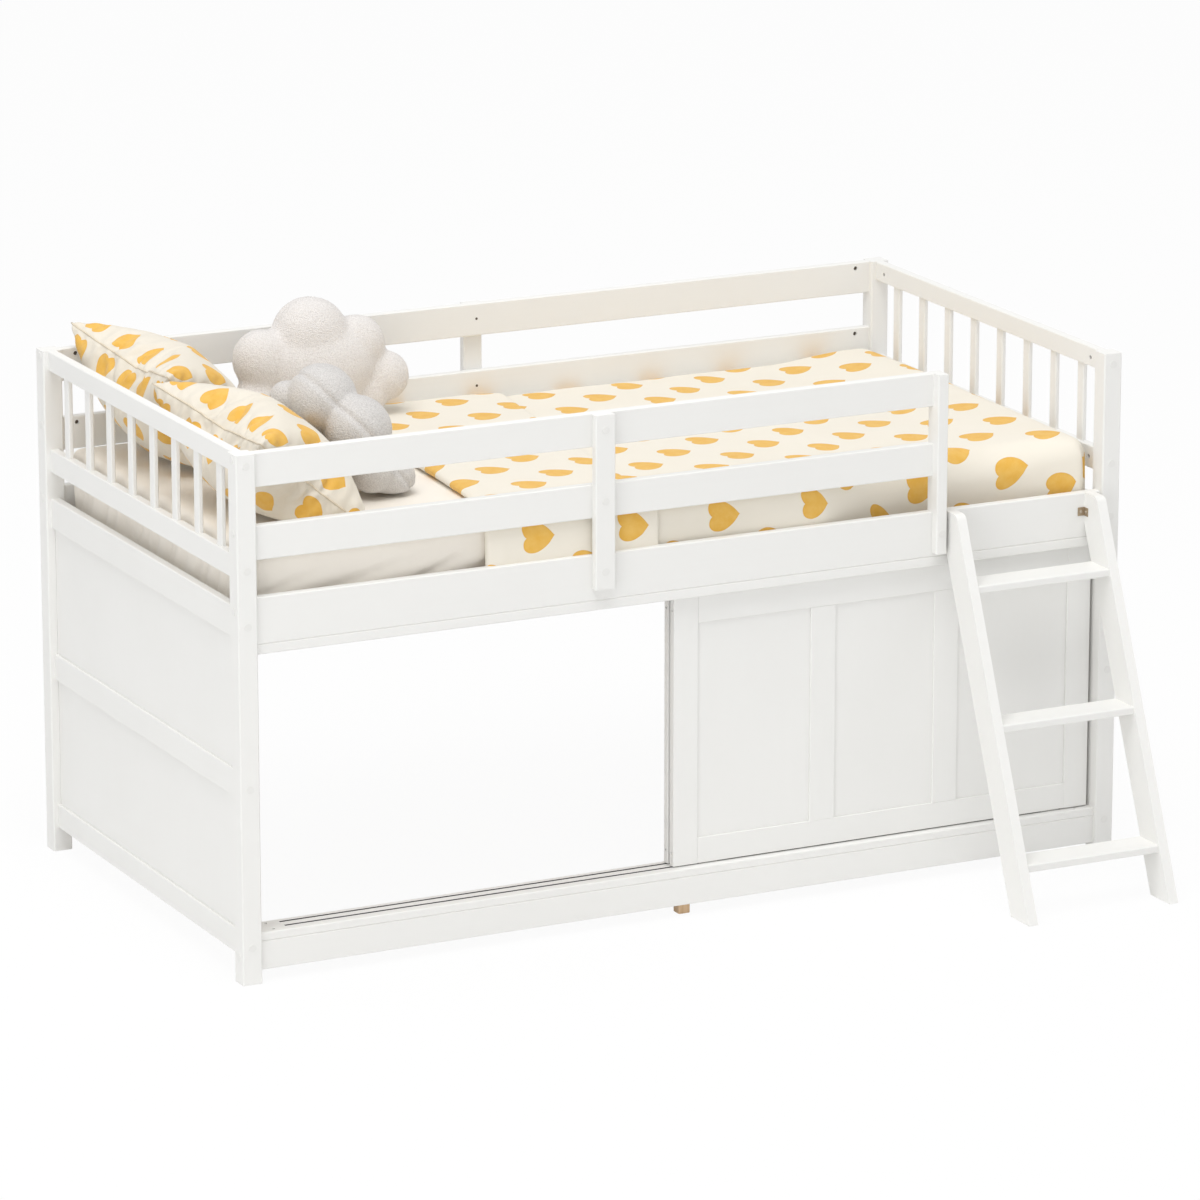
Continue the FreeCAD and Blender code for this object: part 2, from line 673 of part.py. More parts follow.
end_bolt_levels = {
    "top_rail": "bed_height - top_bolt_drop",
    "guard_rail": f"{end_guard_top} - end_guard_height / 2",
    "upper_panel_rail": f"{upper_rail_bottom} + upper_rail_height / 2",
    "middle_panel_rail": f"{middle_rail_bottom} + middle_rail_height / 2",
    "bottom_rail": "bottom_rail_lift + bottom_rail_height / 2",
}
for end, (x, hand) in ends.items():
    inward = 1 if end == "head" else -1
    centre_x = f"{x} + board_thickness / 2"
    for name, z in end_bolt_levels.items():
        for depth, sense, y in (("front", 1, "0"), ("back", -1, "bed_width")):
            tag = f"{end}_{depth}_{name}"
            boards = [f"post_{depth}_{hand}", f"{end}_{name}"]
            tool = bolt(tag, (centre_x, y, z), "y", sense, bolt_length, boards)
            nut_y = f"{y} + {sense} * (post_side + nut_setback)"
            nut(tag, (centre_x, nut_y, z), "x", inward, tool, f"{end}_{name}")

long_bolt_levels = {
    "upper_guard_rail": "bed_height - guard_bolt_drop",
    "lower_guard_rail": f"{lower_guard_top} - guard_bolt_drop",
    "side_rail": f"{side_top} - side_bolt_drop",
}
hands = ("left", "right")
long_bolts = [("back", f"back_{name}", z, hand) for name, z in long_bolt_levels.items() for hand in hands]
long_bolts += [("front", f"front_{name}", z, "left") for name, z in long_bolt_levels.items()]
long_bolts += [("front", "front_side_rail", long_bolt_levels["side_rail"], "right")]
long_bolts += [("front", "bottom_front_rail", "front_rail_lift + front_rail_height / 2", hand)
               for hand in hands]
for depth, rail, z, hand in long_bolts:
    tag = f"{rail}_{hand}"
    sense = 1 if hand == "left" else -1
    x = "0" if hand == "left" else "bed_length"
    y = "post_side / 2" if depth == "front" else "bed_width - post_side / 2"
    tool = bolt(tag, (x, y, z), "x", sense, bolt_length, [f"post_{depth}_{hand}", rail])
    nut_x = f"{x} + {sense} * (post_side + nut_setback)"
    nut(tag, (nut_x, y, z), "y", 1 if depth == "front" else -1, tool, rail)
for name in ("upper_guard_rail", "lower_guard_rail"):
    tag = f"entry_{name}"
    reach = "(entry_post_width + nut_setback + bolt_tip)"
    head = (entry_post_right, "post_side / 2", long_bolt_levels[name])
    tool = bolt(tag, head, "x", -1, reach, ["entry_guard_post", f"front_{name}"])
    nut_x = f"{entry_post_right} - entry_post_width - nut_setback"
    nut(tag, (nut_x, "post_side / 2", long_bolt_levels[name]), "y", 1, tool, f"front_{name}")

# Through bolts hold the guard posts on the faces of the rails that they cross.
lap_levels = {
    "upper_guard_rail": "bed_height - cap_drop",
    "lower_guard_rail": f"{lower_guard_top} - cap_drop",
    "side_rail": f"{side_top} - cap_drop",
}
lap_length = "(guard_post_thickness + board_thickness)"
for name, z in lap_levels.items():
    bolt(f"front_lap_{name}", ("guard_post_place", f"{inset} - guard_post_thickness", z), "y", 1, lap_length,
         ["front_guard_post", f"front_{name}"])
    bolt(f"back_lap_{name}", ("bed_length / 2", back_reach, z), "y", -1, lap_length,
         ["back_guard_post", f"back_{name}"])
bolt("entry_lap", (f"{entry_post_left} + entry_post_width / 2", f"{inset} - entry_post_reach",
                   f"{side_top} - entry_post_lap / 2"), "y", 1, "(entry_post_reach + board_thickness)",
     ["entry_guard_post", "front_side_rail"])
node("connecting_bolts", group("connecting_bolts", bolts))
node("barrel_nuts", group("barrel_nuts", nuts))
node("bolt_caps", group("bolt_caps", caps))
for label, piece in blanks.items():
    node(label, cut_from(piece, label, cutters[label]))

# Mattress with rounded borders.
mattress, mattress_pad = extruded("mattress", "z", [
    ("0", "0"),
    (f"{mattress_end} - {mattress_start}", "0"),
    (f"{mattress_end} - {mattress_start}", f"{mattress_back} - {mattress_front}"),
    ("0", f"{mattress_back} - {mattress_front}"),
], "mattress_thickness")
mattress_height = mattress_pad.Shape.BoundBox.ZMax
rounded(mattress, mattress_pad, "mattress_round",
        lambda edge: along(edge, "z") or edge.Vertexes[0].Point.z > equal_share * mattress_height)
node("mattress", place(mattress, (mattress_start, mattress_front, mattress_bottom)))


def cover(label, play, top_play, heads, feet, round_foot):
    # A blanket's outer form: a slab with a skirt round the mattress, whose top edges are rounded.
    depth = f"{mattress_back} - {mattress_front} + 2 * ({play})"
    body, pad = extruded(label, "z", [
        (heads[0], "0"),
        (feet[0], "0"),
        (feet[1], depth),
        (heads[1], depth),
    ], f"quilt_drop + {top_play}")
    top = pad.Shape.BoundBox.ZMax

    def outer_top(edge):
        high = min(vertex.Point.z for vertex in edge.Vertexes) > equal_share * top
        return high and (along(edge, "x") or (round_foot and along(edge, "y")))

    rounded(body, pad, f"mattress_round + {play}", outer_top)
    return place(body, ("0", f"{mattress_front} - ({play})", f"{mattress_top} - quilt_drop"))


# Quilt over the foot of the mattress, with its head end turned back into a second layer.
sheet_play = "soft_play + quilt_thickness"
quilt_heads = ("quilt_head_front", "quilt_head_back")
room_heads = (mattress_start, mattress_start)
room_foot = f"{mattress_end} + soft_play"
quilt_foot = f"{mattress_end} + {sheet_play}"
flap_feet = ("quilt_head_front + flap_width", "quilt_head_back + flap_width")
quilt_outer = cover("quilt_outer", sheet_play, sheet_play, quilt_heads, (quilt_foot, quilt_foot), True)
quilt_flap = cover("quilt_flap", sheet_play, f"{sheet_play} + flap_thickness", quilt_heads, flap_feet, False)
quilt_room = cover("quilt_room", "soft_play", "soft_play", room_heads, (room_foot, room_foot), True)
quilt_layers = doc.addObject("Part::MultiFuse", "quilt_layers")
quilt_layers.Shapes = [quilt_outer, quilt_flap]
node("quilt", cut_from(quilt_layers, "quilt", [quilt_room]))


def seated(label, solid, turn, corner, seat):
    # Sets a stuffed solid, turned to its pose, on the surface below it.
    piece = doc.addObject("Part::Feature", label)
    piece.Shape = solid
    piece.Placement = FreeCAD.Placement(FreeCAD.Vector(), turn)
    lowest = piece.Shape.optimalBoundingBox().ZMin
    x, y = corner
    node(label, place(piece, (x, y, f"{seat} + soft_play - ({lowest})")))


def flats(start, crest, end, count):
    # Points along the arc through three points, without the last one.
    return Part.Arc(start, crest, end).toShape().discretize(Number=count + 1)[:count]


def face(points):
    return Part.Face(Part.makePolygon(points + points[:1]))


def stuffed(sections):
    # A closed skin of flats from section to section, with a flat at each end.
    faces = [face(sections[0]), face(sections[-1])]
    for lower, upper in zip(sections, sections[1:]):
        for index, start in enumerate(lower):
            following = (index + 1) % len(lower)
            faces.append(face([start, lower[following], upper[following]]))
            faces.append(face([start, upper[following], upper[index]]))
    skin = Part.makeShell(faces)
    skin.sewShape()
    return Part.makeSolid(skin).removeSplitter()


# The two pillows share the mattress's width.
mattress_room = size("bed_width") - size("post_side") - size("board_thickness")
mattress_width = mattress_room - 2 * size("mattress_side_gap")
pillow_room = mattress_width - size("pillow_front_margin") + size("pillow_back_overhang")
pillow_width = (pillow_room - size("pillow_gap")) / 2


def pillow(label, middle):
    # Lens sections along the width: full in the middle, drawn in at the sides, thin at the sewn edges.
    width_shares = (-0.5, -0.46, -0.36, -0.2, 0, 0.2, 0.36, 0.46, 0.5)
    fullness_shares = (0, 0.36, 0.68, 0.92, 1, 0.92, 0.68, 0.36, 0)
    draw_shares = (1, 0.965, 0.935, 0.915, 0.91, 0.915, 0.935, 0.965, 1)
    run = size(f"{label}_run")
    rise = size(f"{label}_rise")
    half_depth = math.hypot(run, rise) / 2
    edge = size("pillow_edge")
    sections = []
    for width_share, fullness_share, draw_share in zip(width_shares, fullness_shares, draw_shares):
        y = width_share * pillow_width
        reach = half_depth * draw_share
        swell = edge + fullness_share * (size("pillow_half_thickness") - edge)
        low = FreeCAD.Vector(reach, y, 0)
        high = FreeCAD.Vector(-reach, y, 0)
        front = flats(high, FreeCAD.Vector(0, y, swell), low, pillow_flat_count)
        back = flats(low, FreeCAD.Vector(0, y, -swell), high, pillow_flat_count)
        sections.append(front + back)
    turn = FreeCAD.Rotation(axis_vectors["y"], math.degrees(math.atan2(rise, run)))
    seated(label, stuffed(sections), turn, (f"{label}_head + {label}_run / 2", middle), mattress_top)


pillow("pillow_front", f"{mattress_front} + pillow_front_margin + {pillow_width / 2}")
pillow("pillow_back", f"{mattress_back} + pillow_back_overhang - {pillow_width / 2}")


def cloud(label, lobe_shares, turn, middle, seat):
    # A stuffed cloud: a lobed outline, swelling from its two faces to its middle.
    # Each lobe starts at a valley, in shares of width and height, and bulges by a share of its chord.
    width = size(f"{label}_width")
    height = size(f"{label}_height")
    thickness = size(f"{label}_thickness")
    depth_shares = (-0.5, -0.4, -0.2, 0, 0.2, 0.4, 0.5)
    swell_shares = (0.48, 0.74, 0.94, 1, 0.94, 0.74, 0.48)
    sections = []
    for depth_share, swell_share in zip(depth_shares, swell_shares):
        level = depth_share * thickness
        valleys = [FreeCAD.Vector(x_share * width * swell_share, y_share * height * swell_share, level)
                   for x_share, y_share, bulge_share in lobe_shares]
        points = []
        for index, start in enumerate(valleys):
            end = valleys[(index + 1) % len(valleys)]
            chord = end - start
            outward = FreeCAD.Vector(chord.y, -chord.x, 0)
            crest = (start + end) / 2 + outward * lobe_shares[index][2]
            points += flats(start, crest, end, lobe_flat_count)
        sections.append(points)
    seated(label, stuffed(sections), turn, (f"{label}_head", middle), seat)


large_lobe_shares = (
    (-0.41, -0.16, 0.08),
    (0.3, -0.4, 0.41),
    (0.36, 0.01, 0.36),
    (0.09, 0.3, 0.42),
    (-0.26, 0.24, 0.45),
)
small_lobe_shares = (
    (-0.28, -0.4, 0.14),
    (0.28, -0.4, 0.4),
    (0.36, 0.06, 0.42),
    (0.14, 0.3, 0.42),
    (-0.14, 0.3, 0.42),
    (-0.36, 0.06, 0.4),
)
large_cloud_turn = FreeCAD.Rotation(axis_vectors["x"], large_cloud_angle)
small_cloud_face = FreeCAD.Rotation(axis_vectors["x"], half_angle)
small_cloud_turn = FreeCAD.Rotation(axis_vectors["y"], small_cloud_angle).multiply(small_cloud_face)
flap_top = f"{mattress_top} + {sheet_play} + flap_thickness"
cloud("large_cloud", large_lobe_shares, large_cloud_turn, "bed_width - large_cloud_back", flap_top)
cloud("small_cloud", small_lobe_shares, small_cloud_turn, "small_cloud_front", mattress_top)

doc.recompute()
for label, piece in nodes.items():
    piece.Label = label
for piece in doc.Objects:
    if {"Invalid", "Error"} & set(piece.State):
        raise RuntimeError(f"{piece.Label} failed: {piece.State}")
for label, piece in nodes.items():
    if piece.Shape.isNull() or not piece.Shape.isValid():
        raise RuntimeError(f"{label} has no valid shape")
os.makedirs("parts", exist_ok=True)
for label, piece in nodes.items():
    piece.Shape.exportStep(f"parts/{label}.step")
print(len(nodes), "sub-parts written")
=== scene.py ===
import math
import bpy
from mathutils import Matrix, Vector, noise


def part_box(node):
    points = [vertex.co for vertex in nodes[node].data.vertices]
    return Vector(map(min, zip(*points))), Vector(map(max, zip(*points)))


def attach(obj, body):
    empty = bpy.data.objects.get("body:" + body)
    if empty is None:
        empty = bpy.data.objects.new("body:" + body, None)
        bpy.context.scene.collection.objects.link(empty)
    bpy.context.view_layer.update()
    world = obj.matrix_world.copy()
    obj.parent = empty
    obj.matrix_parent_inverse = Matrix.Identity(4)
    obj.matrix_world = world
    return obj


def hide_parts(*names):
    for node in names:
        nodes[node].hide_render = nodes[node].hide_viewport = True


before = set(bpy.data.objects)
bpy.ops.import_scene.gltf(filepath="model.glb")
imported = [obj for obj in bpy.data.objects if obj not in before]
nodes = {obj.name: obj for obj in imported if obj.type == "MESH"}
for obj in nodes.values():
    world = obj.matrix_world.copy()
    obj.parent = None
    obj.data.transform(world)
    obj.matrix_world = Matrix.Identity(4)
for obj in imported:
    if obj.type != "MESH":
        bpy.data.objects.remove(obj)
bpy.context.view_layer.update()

scene = bpy.context.scene
scene.view_settings.view_transform = "Standard"
bedCorner = Vector(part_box("post_front_left")[0])   # head end, front face, floor
print("frame loaded with", len(nodes), "nodes")


def clearSelection():
    if bpy.context.object and bpy.context.object.mode != "OBJECT":
        bpy.ops.object.mode_set(mode="OBJECT")
    bpy.ops.object.select_all(action="DESELECT")


def pick(piece):
    clearSelection()
    piece.select_set(True)
    bpy.context.view_layer.objects.active = piece


def editAll(piece):
    pick(piece)
    bpy.ops.object.mode_set(mode="EDIT")
    bpy.ops.mesh.select_all(action="SELECT")


def endEdit():
    bpy.ops.object.mode_set(mode="OBJECT")


def smoothShade(piece):
    pick(piece)
    bpy.ops.object.shade_smooth()


def applyAll(piece):
    pick(piece)
    for modifier in list(piece.modifiers):
        bpy.ops.object.modifier_apply(modifier=modifier.name)


def wear(piece, name, material, node):
    piece.name = name
    piece.data.name = name
    piece.data.materials.clear()
    piece.data.materials.append(material)
    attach(piece, "frame")
    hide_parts(node)


def reshape(piece, rule):
    # moves each point to the place that the rule gives for its place, normal and index
    starts = [(vertex.co.copy(), vertex.normal.copy(), vertex.index) for vertex in piece.data.vertices]
    moved = [number for start in starts for number in rule(*start)]
    piece.data.vertices.foreach_set("co", moved)
    piece.data.update()


def smoothStep(low, high, value):
    share = min(1.0, max(0.0, (value - low) / (high - low)))
    return share * share * (3 - 2 * share)


def settle(value, limit, soft):
    # comes to rest softly above the limit
    if value >= limit + soft:
        return value
    return limit + soft * math.exp((value - limit - soft) / soft)


def mixAlong(stops, value):
    # straight lines between (place, amount) stops
    if value <= stops[0][0]:
        return stops[0][1]
    for (start, first), (end, second) in zip(stops, stops[1:]):
        if value <= end:
            return first + (second - first) * (value - start) / (end - start)
    return stops[-1][1]


# materials


def newMaterial(name):
    material = bpy.data.materials.new(name)
    material.use_nodes = True
    return material, material.node_tree, material.node_tree.nodes["Principled BSDF"]


def add(tree, kind, inputs=None, **settings):
    made = tree.nodes.new(kind)
    for key, value in settings.items():
        setattr(made, key, value)
    for key, value in (inputs or {}).items():
        if isinstance(value, bpy.types.NodeSocket):
            tree.links.new(value, made.inputs[key])
        else:
            made.inputs[key].default_value = value
    return made


def calc(tree, operation, first, second=0.0, third=0.0):
    return add(tree, "ShaderNodeMath", {0: first, 1: second, 2: third}, operation=operation).outputs[0]


def blendColours(tree, share, first, second):
    made = add(tree, "ShaderNodeMix", {"Factor": share}, data_type="RGBA")
    for socket, value in ((made.inputs[6], first), (made.inputs[7], second)):
        if isinstance(value, bpy.types.NodeSocket):
            tree.links.new(value, socket)
        else:
            socket.default_value = (*value, 1.0)
    return made.outputs[2]


def spread(tree, value, fromLow, fromHigh, toLow, toHigh):
    return add(tree, "ShaderNodeMapRange", {"Value": value, "From Min": fromLow, "From Max": fromHigh,
                                            "To Min": toLow, "To Max": toHigh}).outputs[0]


def noiseOn(tree, vector, scale, detail=3.0, rough=0.55):
    return add(tree, "ShaderNodeTexNoise", {"Vector": vector, "Scale": scale, "Detail": detail,
                                            "Roughness": rough}).outputs["Fac"]


def objectPlace(tree, scale=(1, 1, 1)):
    place = add(tree, "ShaderNodeTexCoord").outputs["Object"]
    return add(tree, "ShaderNodeMapping", {"Vector": place, "Scale": scale}).outputs[0]


def addBump(tree, shader, height, strength, depth):
    bump = add(tree, "ShaderNodeBump", {"Strength": strength, "Distance": depth, "Height": height})
    tree.links.new(bump.outputs[0], shader.inputs["Normal"])


paintLook = {
    "colour": (0.862, 0.858, 0.836), "shade": (0.835, 0.829, 0.804), "gloss": 0.42,
    "glossRange": (-0.05, 0.08), "along": 3.0, "across": 130.0, "grainShare": 0.35, "grainDepth": 0.0005,
    "bump": 0.25, "clouding": 5.0, "cloudShare": 0.5, "ior": 1.46,
}


def paintMaterial(name, grainAxis, look):
    material, tree, shader = newMaterial(name)
    stretch = [look["along"] if axis == grainAxis else look["across"] for axis in "xyz"]
    grain = noiseOn(tree, objectPlace(tree, stretch), 1.0, 5.0, 0.6)
    cloudy = noiseOn(tree, objectPlace(tree), look["clouding"], 2.0)
    clouded = calc(tree, "MULTIPLY", cloudy, look["cloudShare"])
    share = calc(tree, "MULTIPLY_ADD", grain, look["grainShare"], clouded)
    shader.inputs["IOR"].default_value = look["ior"]
    tree.links.new(blendColours(tree, share, look["colour"], look["shade"]), shader.inputs["Base Color"])
    low, high = (look["gloss"] + step for step in look["glossRange"])
    tree.links.new(spread(tree, cloudy, 0.3, 0.7, low, high), shader.inputs["Roughness"])
    addBump(tree, shader, grain, look["bump"], look["grainDepth"])
    return material


# painted light: both pine colours are the wood's own tones set lighter, to make up for the shade under the
# bed
pinePaintedLightLook = {
    "colour": (0.74, 0.53, 0.33), "dark": (0.60, 0.39, 0.21), "rough": (0.5, 0.68),
    "ringWidth": 55.0, "ringsAlong": 1.2, "ringsAcross": 16.0, "ringWarp": 1.4,
    "fibreAlong": 6.0, "fibreAcross": 420.0, "fibreDepth": 0.0004, "bump": 0.3,
}


def pineMaterial(name, grainAxis, look):
    material, tree, shader = newMaterial(name)
    ringStretch = [look["ringsAlong"] if axis == grainAxis else look["ringsAcross"] for axis in "xyz"]
    fibreStretch = [look["fibreAlong"] if axis == grainAxis else look["fibreAcross"] for axis in "xyz"]
    warp = noiseOn(tree, objectPlace(tree, ringStretch), look["ringWarp"], 3.0)
    rings = calc(tree, "SINE", calc(tree, "MULTIPLY", warp, look["ringWidth"]))
    fibre = noiseOn(tree, objectPlace(tree, fibreStretch), 1.0, 4.0)
    share = calc(tree, "MULTIPLY_ADD", fibre, 0.5, spread(tree, rings, -1, 1, -0.15, 0.45))
    tree.links.new(blendColours(tree, share, look["colour"], look["dark"]), shader.inputs["Base Color"])
    tree.links.new(spread(tree, fibre, 0.3, 0.7, *look["rough"]), shader.inputs["Roughness"])
    addBump(tree, shader, fibre, look["bump"], look["fibreDepth"])
    return material


hardLooks = {
    "trackPlastic": {"colour": (0.070, 0.070, 0.074), "pale": (0.11, 0.11, 0.115), "gloss": 0.38,
                     "metal": 0.0, "grain": 300.0},
    "glideNylon": {"colour": (0.74, 0.74, 0.71), "pale": (0.80, 0.80, 0.78), "gloss": 0.35, "metal": 0.0,
                   "grain": 160.0},
    "bronzeSteel": {"colour": (0.33, 0.25, 0.165), "pale": (0.50, 0.40, 0.28), "gloss": 0.40, "metal": 0.55,
                    "grain": 420.0},
    "zincSteel": {"colour": (0.075, 0.06, 0.05), "pale": (0.16, 0.135, 0.115), "gloss": 0.42, "metal": 0.6,
                  "grain": 260.0},
    "screwSteel": {"colour": (0.46, 0.40, 0.32), "pale": (0.66, 0.60, 0.50), "gloss": 0.32, "metal": 0.6,
                   "grain": 420.0},
    "capPlastic": {"colour": (0.80, 0.795, 0.77), "pale": (0.83, 0.825, 0.80), "gloss": 0.36, "metal": 0.0,
                   "grain": 220.0},
}


hardGrain = {"glossRange": (-0.07, 0.1), "bump": 0.2, "depth": 0.0002}


def hardMaterial(name, look):
    material, tree, shader = newMaterial(name)
    speck = noiseOn(tree, objectPlace(tree), look["grain"], 4.0, 0.6)
    tree.links.new(blendColours(tree, speck, look["colour"], look["pale"]), shader.inputs["Base Color"])
    low, high = (look["gloss"] + step for step in hardGrain["glossRange"])
    tree.links.new(spread(tree, speck, 0.3, 0.7, low, high), shader.inputs["Roughness"])
    shader.inputs["Metallic"].default_value = look["metal"]
    addBump(tree, shader, speck, hardGrain["bump"], hardGrain["depth"])
    return material


printLook = {
    "cream": (0.868, 0.823, 0.728), "creamShade": (0.845, 0.788, 0.68), "clouding": 9.0,
    "gold": (0.80, 0.455, 0.080), "goldPale": (0.83, 0.515, 0.125), "goldRim": (0.70, 0.37, 0.046),
    "columnStep": 0.107, "rowStep": 0.1445, "heartLength": 0.071, "heartWidth": 0.065,
    "heartTurn": 0.06, "edgeWobble": 0.0012, "wobbleScale": 90, "wash": 42.0, "rimShare": 0.4,
    "thread": 0.0011, "weaveShare": 0.05, "creasing": 26.0, "creaseDepth": 0.003, "bump": 0.28,
    "rough": (0.78, 0.9), "sheen": 0.18, "sheenRough": 0.5, "specular": 0.25,
}
heartSpan = {"width": 2.28, "length": 2.24, "middle": 0.12}   # the heart formula's own size


def heartShare(tree, u, v, look, startU, startV):
    # one heart for each cell of a staggered grid, tip towards +u; below 0 is inside the heart
    along = calc(tree, "DIVIDE", calc(tree, "SUBTRACT", u, startU), look["columnStep"])
    odd = calc(tree, "MODULO", calc(tree, "ABSOLUTE", calc(tree, "FLOOR", along)), 2.0)
    shifted = calc(tree, "DIVIDE", calc(tree, "SUBTRACT", v, startV), look["rowStep"])
    across = calc(tree, "MULTIPLY_ADD", odd, 0.5, shifted)
    corner = {"X": calc(tree, "FLOOR", along), "Y": calc(tree, "FLOOR", across)}
    cell = add(tree, "ShaderNodeCombineXYZ", corner)
    chance = add(tree, "ShaderNodeTexWhiteNoise", {"Vector": cell.outputs[0]}, noise_dimensions="2D")
    turn = spread(tree, chance.outputs["Value"], 0, 1, -look["heartTurn"], look["heartTurn"])
    partU = calc(tree, "SUBTRACT", calc(tree, "FRACT", along), 0.5)
    partV = calc(tree, "SUBTRACT", calc(tree, "FRACT", across), 0.5)
    cellU = calc(tree, "MULTIPLY", partU, look["columnStep"])
    cellV = calc(tree, "MULTIPLY", partV, look["rowStep"])
    turnedU = calc(tree, "MULTIPLY_ADD", cellV, turn, cellU)
    turnedV = calc(tree, "SUBTRACT", cellV, calc(tree, "MULTIPLY", cellU, turn))
    x = calc(tree, "DIVIDE", turnedV, look["heartWidth"] / heartSpan["width"])
    down = calc(tree, "DIVIDE", turnedU, look["heartLength"] / heartSpan["length"])
    y = calc(tree, "SUBTRACT", heartSpan["middle"], down)
    squareX = calc(tree, "MULTIPLY", x, x)
    ring = calc(tree, "SUBTRACT", calc(tree, "MULTIPLY_ADD", y, y, squareX), 1.0)
    return calc(tree, "SUBTRACT", ring, calc(tree, "MULTIPLY", calc(tree, "POWER", squareX, 1 / 3), y))


def cottonMaterial(name, look, startU, startV, printed=True):
    material, tree, shader = newMaterial(name)
    flat = add(tree, "ShaderNodeUVMap", uv_map="flat").outputs[0]
    fine = add(tree, "ShaderNodeMapping", {"Vector": flat, "Scale": [look["wobbleScale"]] * 3}).outputs[0]
    wobble = noiseOn(tree, fine, 1.0, 2.0)
    parts = add(tree, "ShaderNodeSeparateXYZ", {0: flat})
    u = calc(tree, "MULTIPLY_ADD", wobble, look["edgeWobble"], parts.outputs[0])
    v = calc(tree, "MULTIPLY_ADD", wobble, -look["edgeWobble"], parts.outputs[1])
    cloudy = noiseOn(tree, flat, look["clouding"], 3.0)
    cloth = blendColours(tree, cloudy, look["cream"], look["creamShade"])
    if printed:
        heart = heartShare(tree, u, v, look, startU, startV)
        inside = spread(tree, heart, 0.02, -0.03, 0.0, 1.0)
        rim = spread(tree, heart, -0.22, -0.02, 0.0, 1.0)
        wash = noiseOn(tree, flat, look["wash"], 3.0)
        gold = blendColours(tree, spread(tree, wash, 0.35, 0.68, 0.0, 1.0), look["gold"], look["goldPale"])
        gold = blendColours(tree, calc(tree, "MULTIPLY", rim, look["rimShare"]), gold, look["goldRim"])
        cloth = blendColours(tree, inside, cloth, gold)
    tree.links.new(cloth, shader.inputs["Base Color"])
    weft = calc(tree, "SINE", calc(tree, "MULTIPLY", parts.outputs[0], math.tau / look["thread"]))
    warp = calc(tree, "SINE", calc(tree, "MULTIPLY", parts.outputs[1], math.tau / look["thread"]))
    weave = calc(tree, "MULTIPLY", weft, warp)
    creases = noiseOn(tree, flat, look["creasing"], 4.0, 0.6)
    height = calc(tree, "MULTIPLY_ADD", weave, look["weaveShare"], creases)
    addBump(tree, shader, height, look["bump"], look["creaseDepth"])
    tree.links.new(spread(tree, weave, -1, 1, *look["rough"]), shader.inputs["Roughness"])
    shader.inputs["Sheen Weight"].default_value = look["sheen"]
    shader.inputs["Sheen Roughness"].default_value = look["sheenRough"]
    shader.inputs["Specular IOR Level"].default_value = look["specular"]
    return material


pillowPrint = dict(printLook, cream=(0.80, 0.752, 0.66), creamShade=(0.775, 0.715, 0.61), columnStep=0.100,
                   rowStep=0.104, heartLength=0.064, heartWidth=0.058)
# painted light: the sheet's cream and its darker tone are set lighter than the beige cloth, to make up for
# the shade it gets inside the bed
sheetPaintedLightLook = dict(printLook, cream=(0.945, 0.90, 0.825), creamShade=(0.92, 0.865, 0.78))
pipingLook = dict(printLook, cream=(0.78, 0.70, 0.57), creamShade=(0.68, 0.59, 0.45))
fleeceLook = {"curl": 330.0, "fuzz": 1.3, "lumps": 22.0, "curlShare": 0.75, "lumpShare": 0.2,
              "curlHeight": 0.9, "depth": 0.0022, "bump": 0.7, "sheen": 0.45, "sheenRough": 0.4,
              "specular": 0.1}
fleeceLooks = {
    "large_cloud": dict(fleeceLook, pale=(0.93, 0.90, 0.875), deep=(0.74, 0.705, 0.68)),
    "small_cloud": dict(fleeceLook, pale=(0.83, 0.81, 0.79), deep=(0.57, 0.55, 0.535)),
}


def fleeceMaterial(name, look):
    material, tree, shader = newMaterial(name)
    place = objectPlace(tree)
    curls = add(tree, "ShaderNodeTexVoronoi", {"Vector": place, "Scale": look["curl"]}).outputs["Distance"]
    fuzz = noiseOn(tree, place, look["curl"] * look["fuzz"], 4.0, 0.65)
    lumps = noiseOn(tree, place, look["lumps"], 3.0)
    share = calc(tree, "MULTIPLY_ADD", curls, look["curlShare"], spread(tree, fuzz, 0.35, 0.65, -0.1, 0.45))
    share = calc(tree, "MULTIPLY_ADD", lumps, look["lumpShare"], calc(tree, "SUBTRACT", share, 0.1))
    tree.links.new(blendColours(tree, share, look["pale"], look["deep"]), shader.inputs["Base Color"])
    height = calc(tree, "SUBTRACT", fuzz, calc(tree, "MULTIPLY", curls, look["curlHeight"]))
    addBump(tree, shader, height, look["bump"], look["depth"])
    tree.links.new(spread(tree, fuzz, 0.3, 0.7, 0.9, 1.0), shader.inputs["Roughness"])
    shader.inputs["Sheen Weight"].default_value = look["sheen"]
    shader.inputs["Sheen Roughness"].default_value = look["sheenRough"]
    shader.inputs["Specular IOR Level"].default_value = look["specular"]
    return material


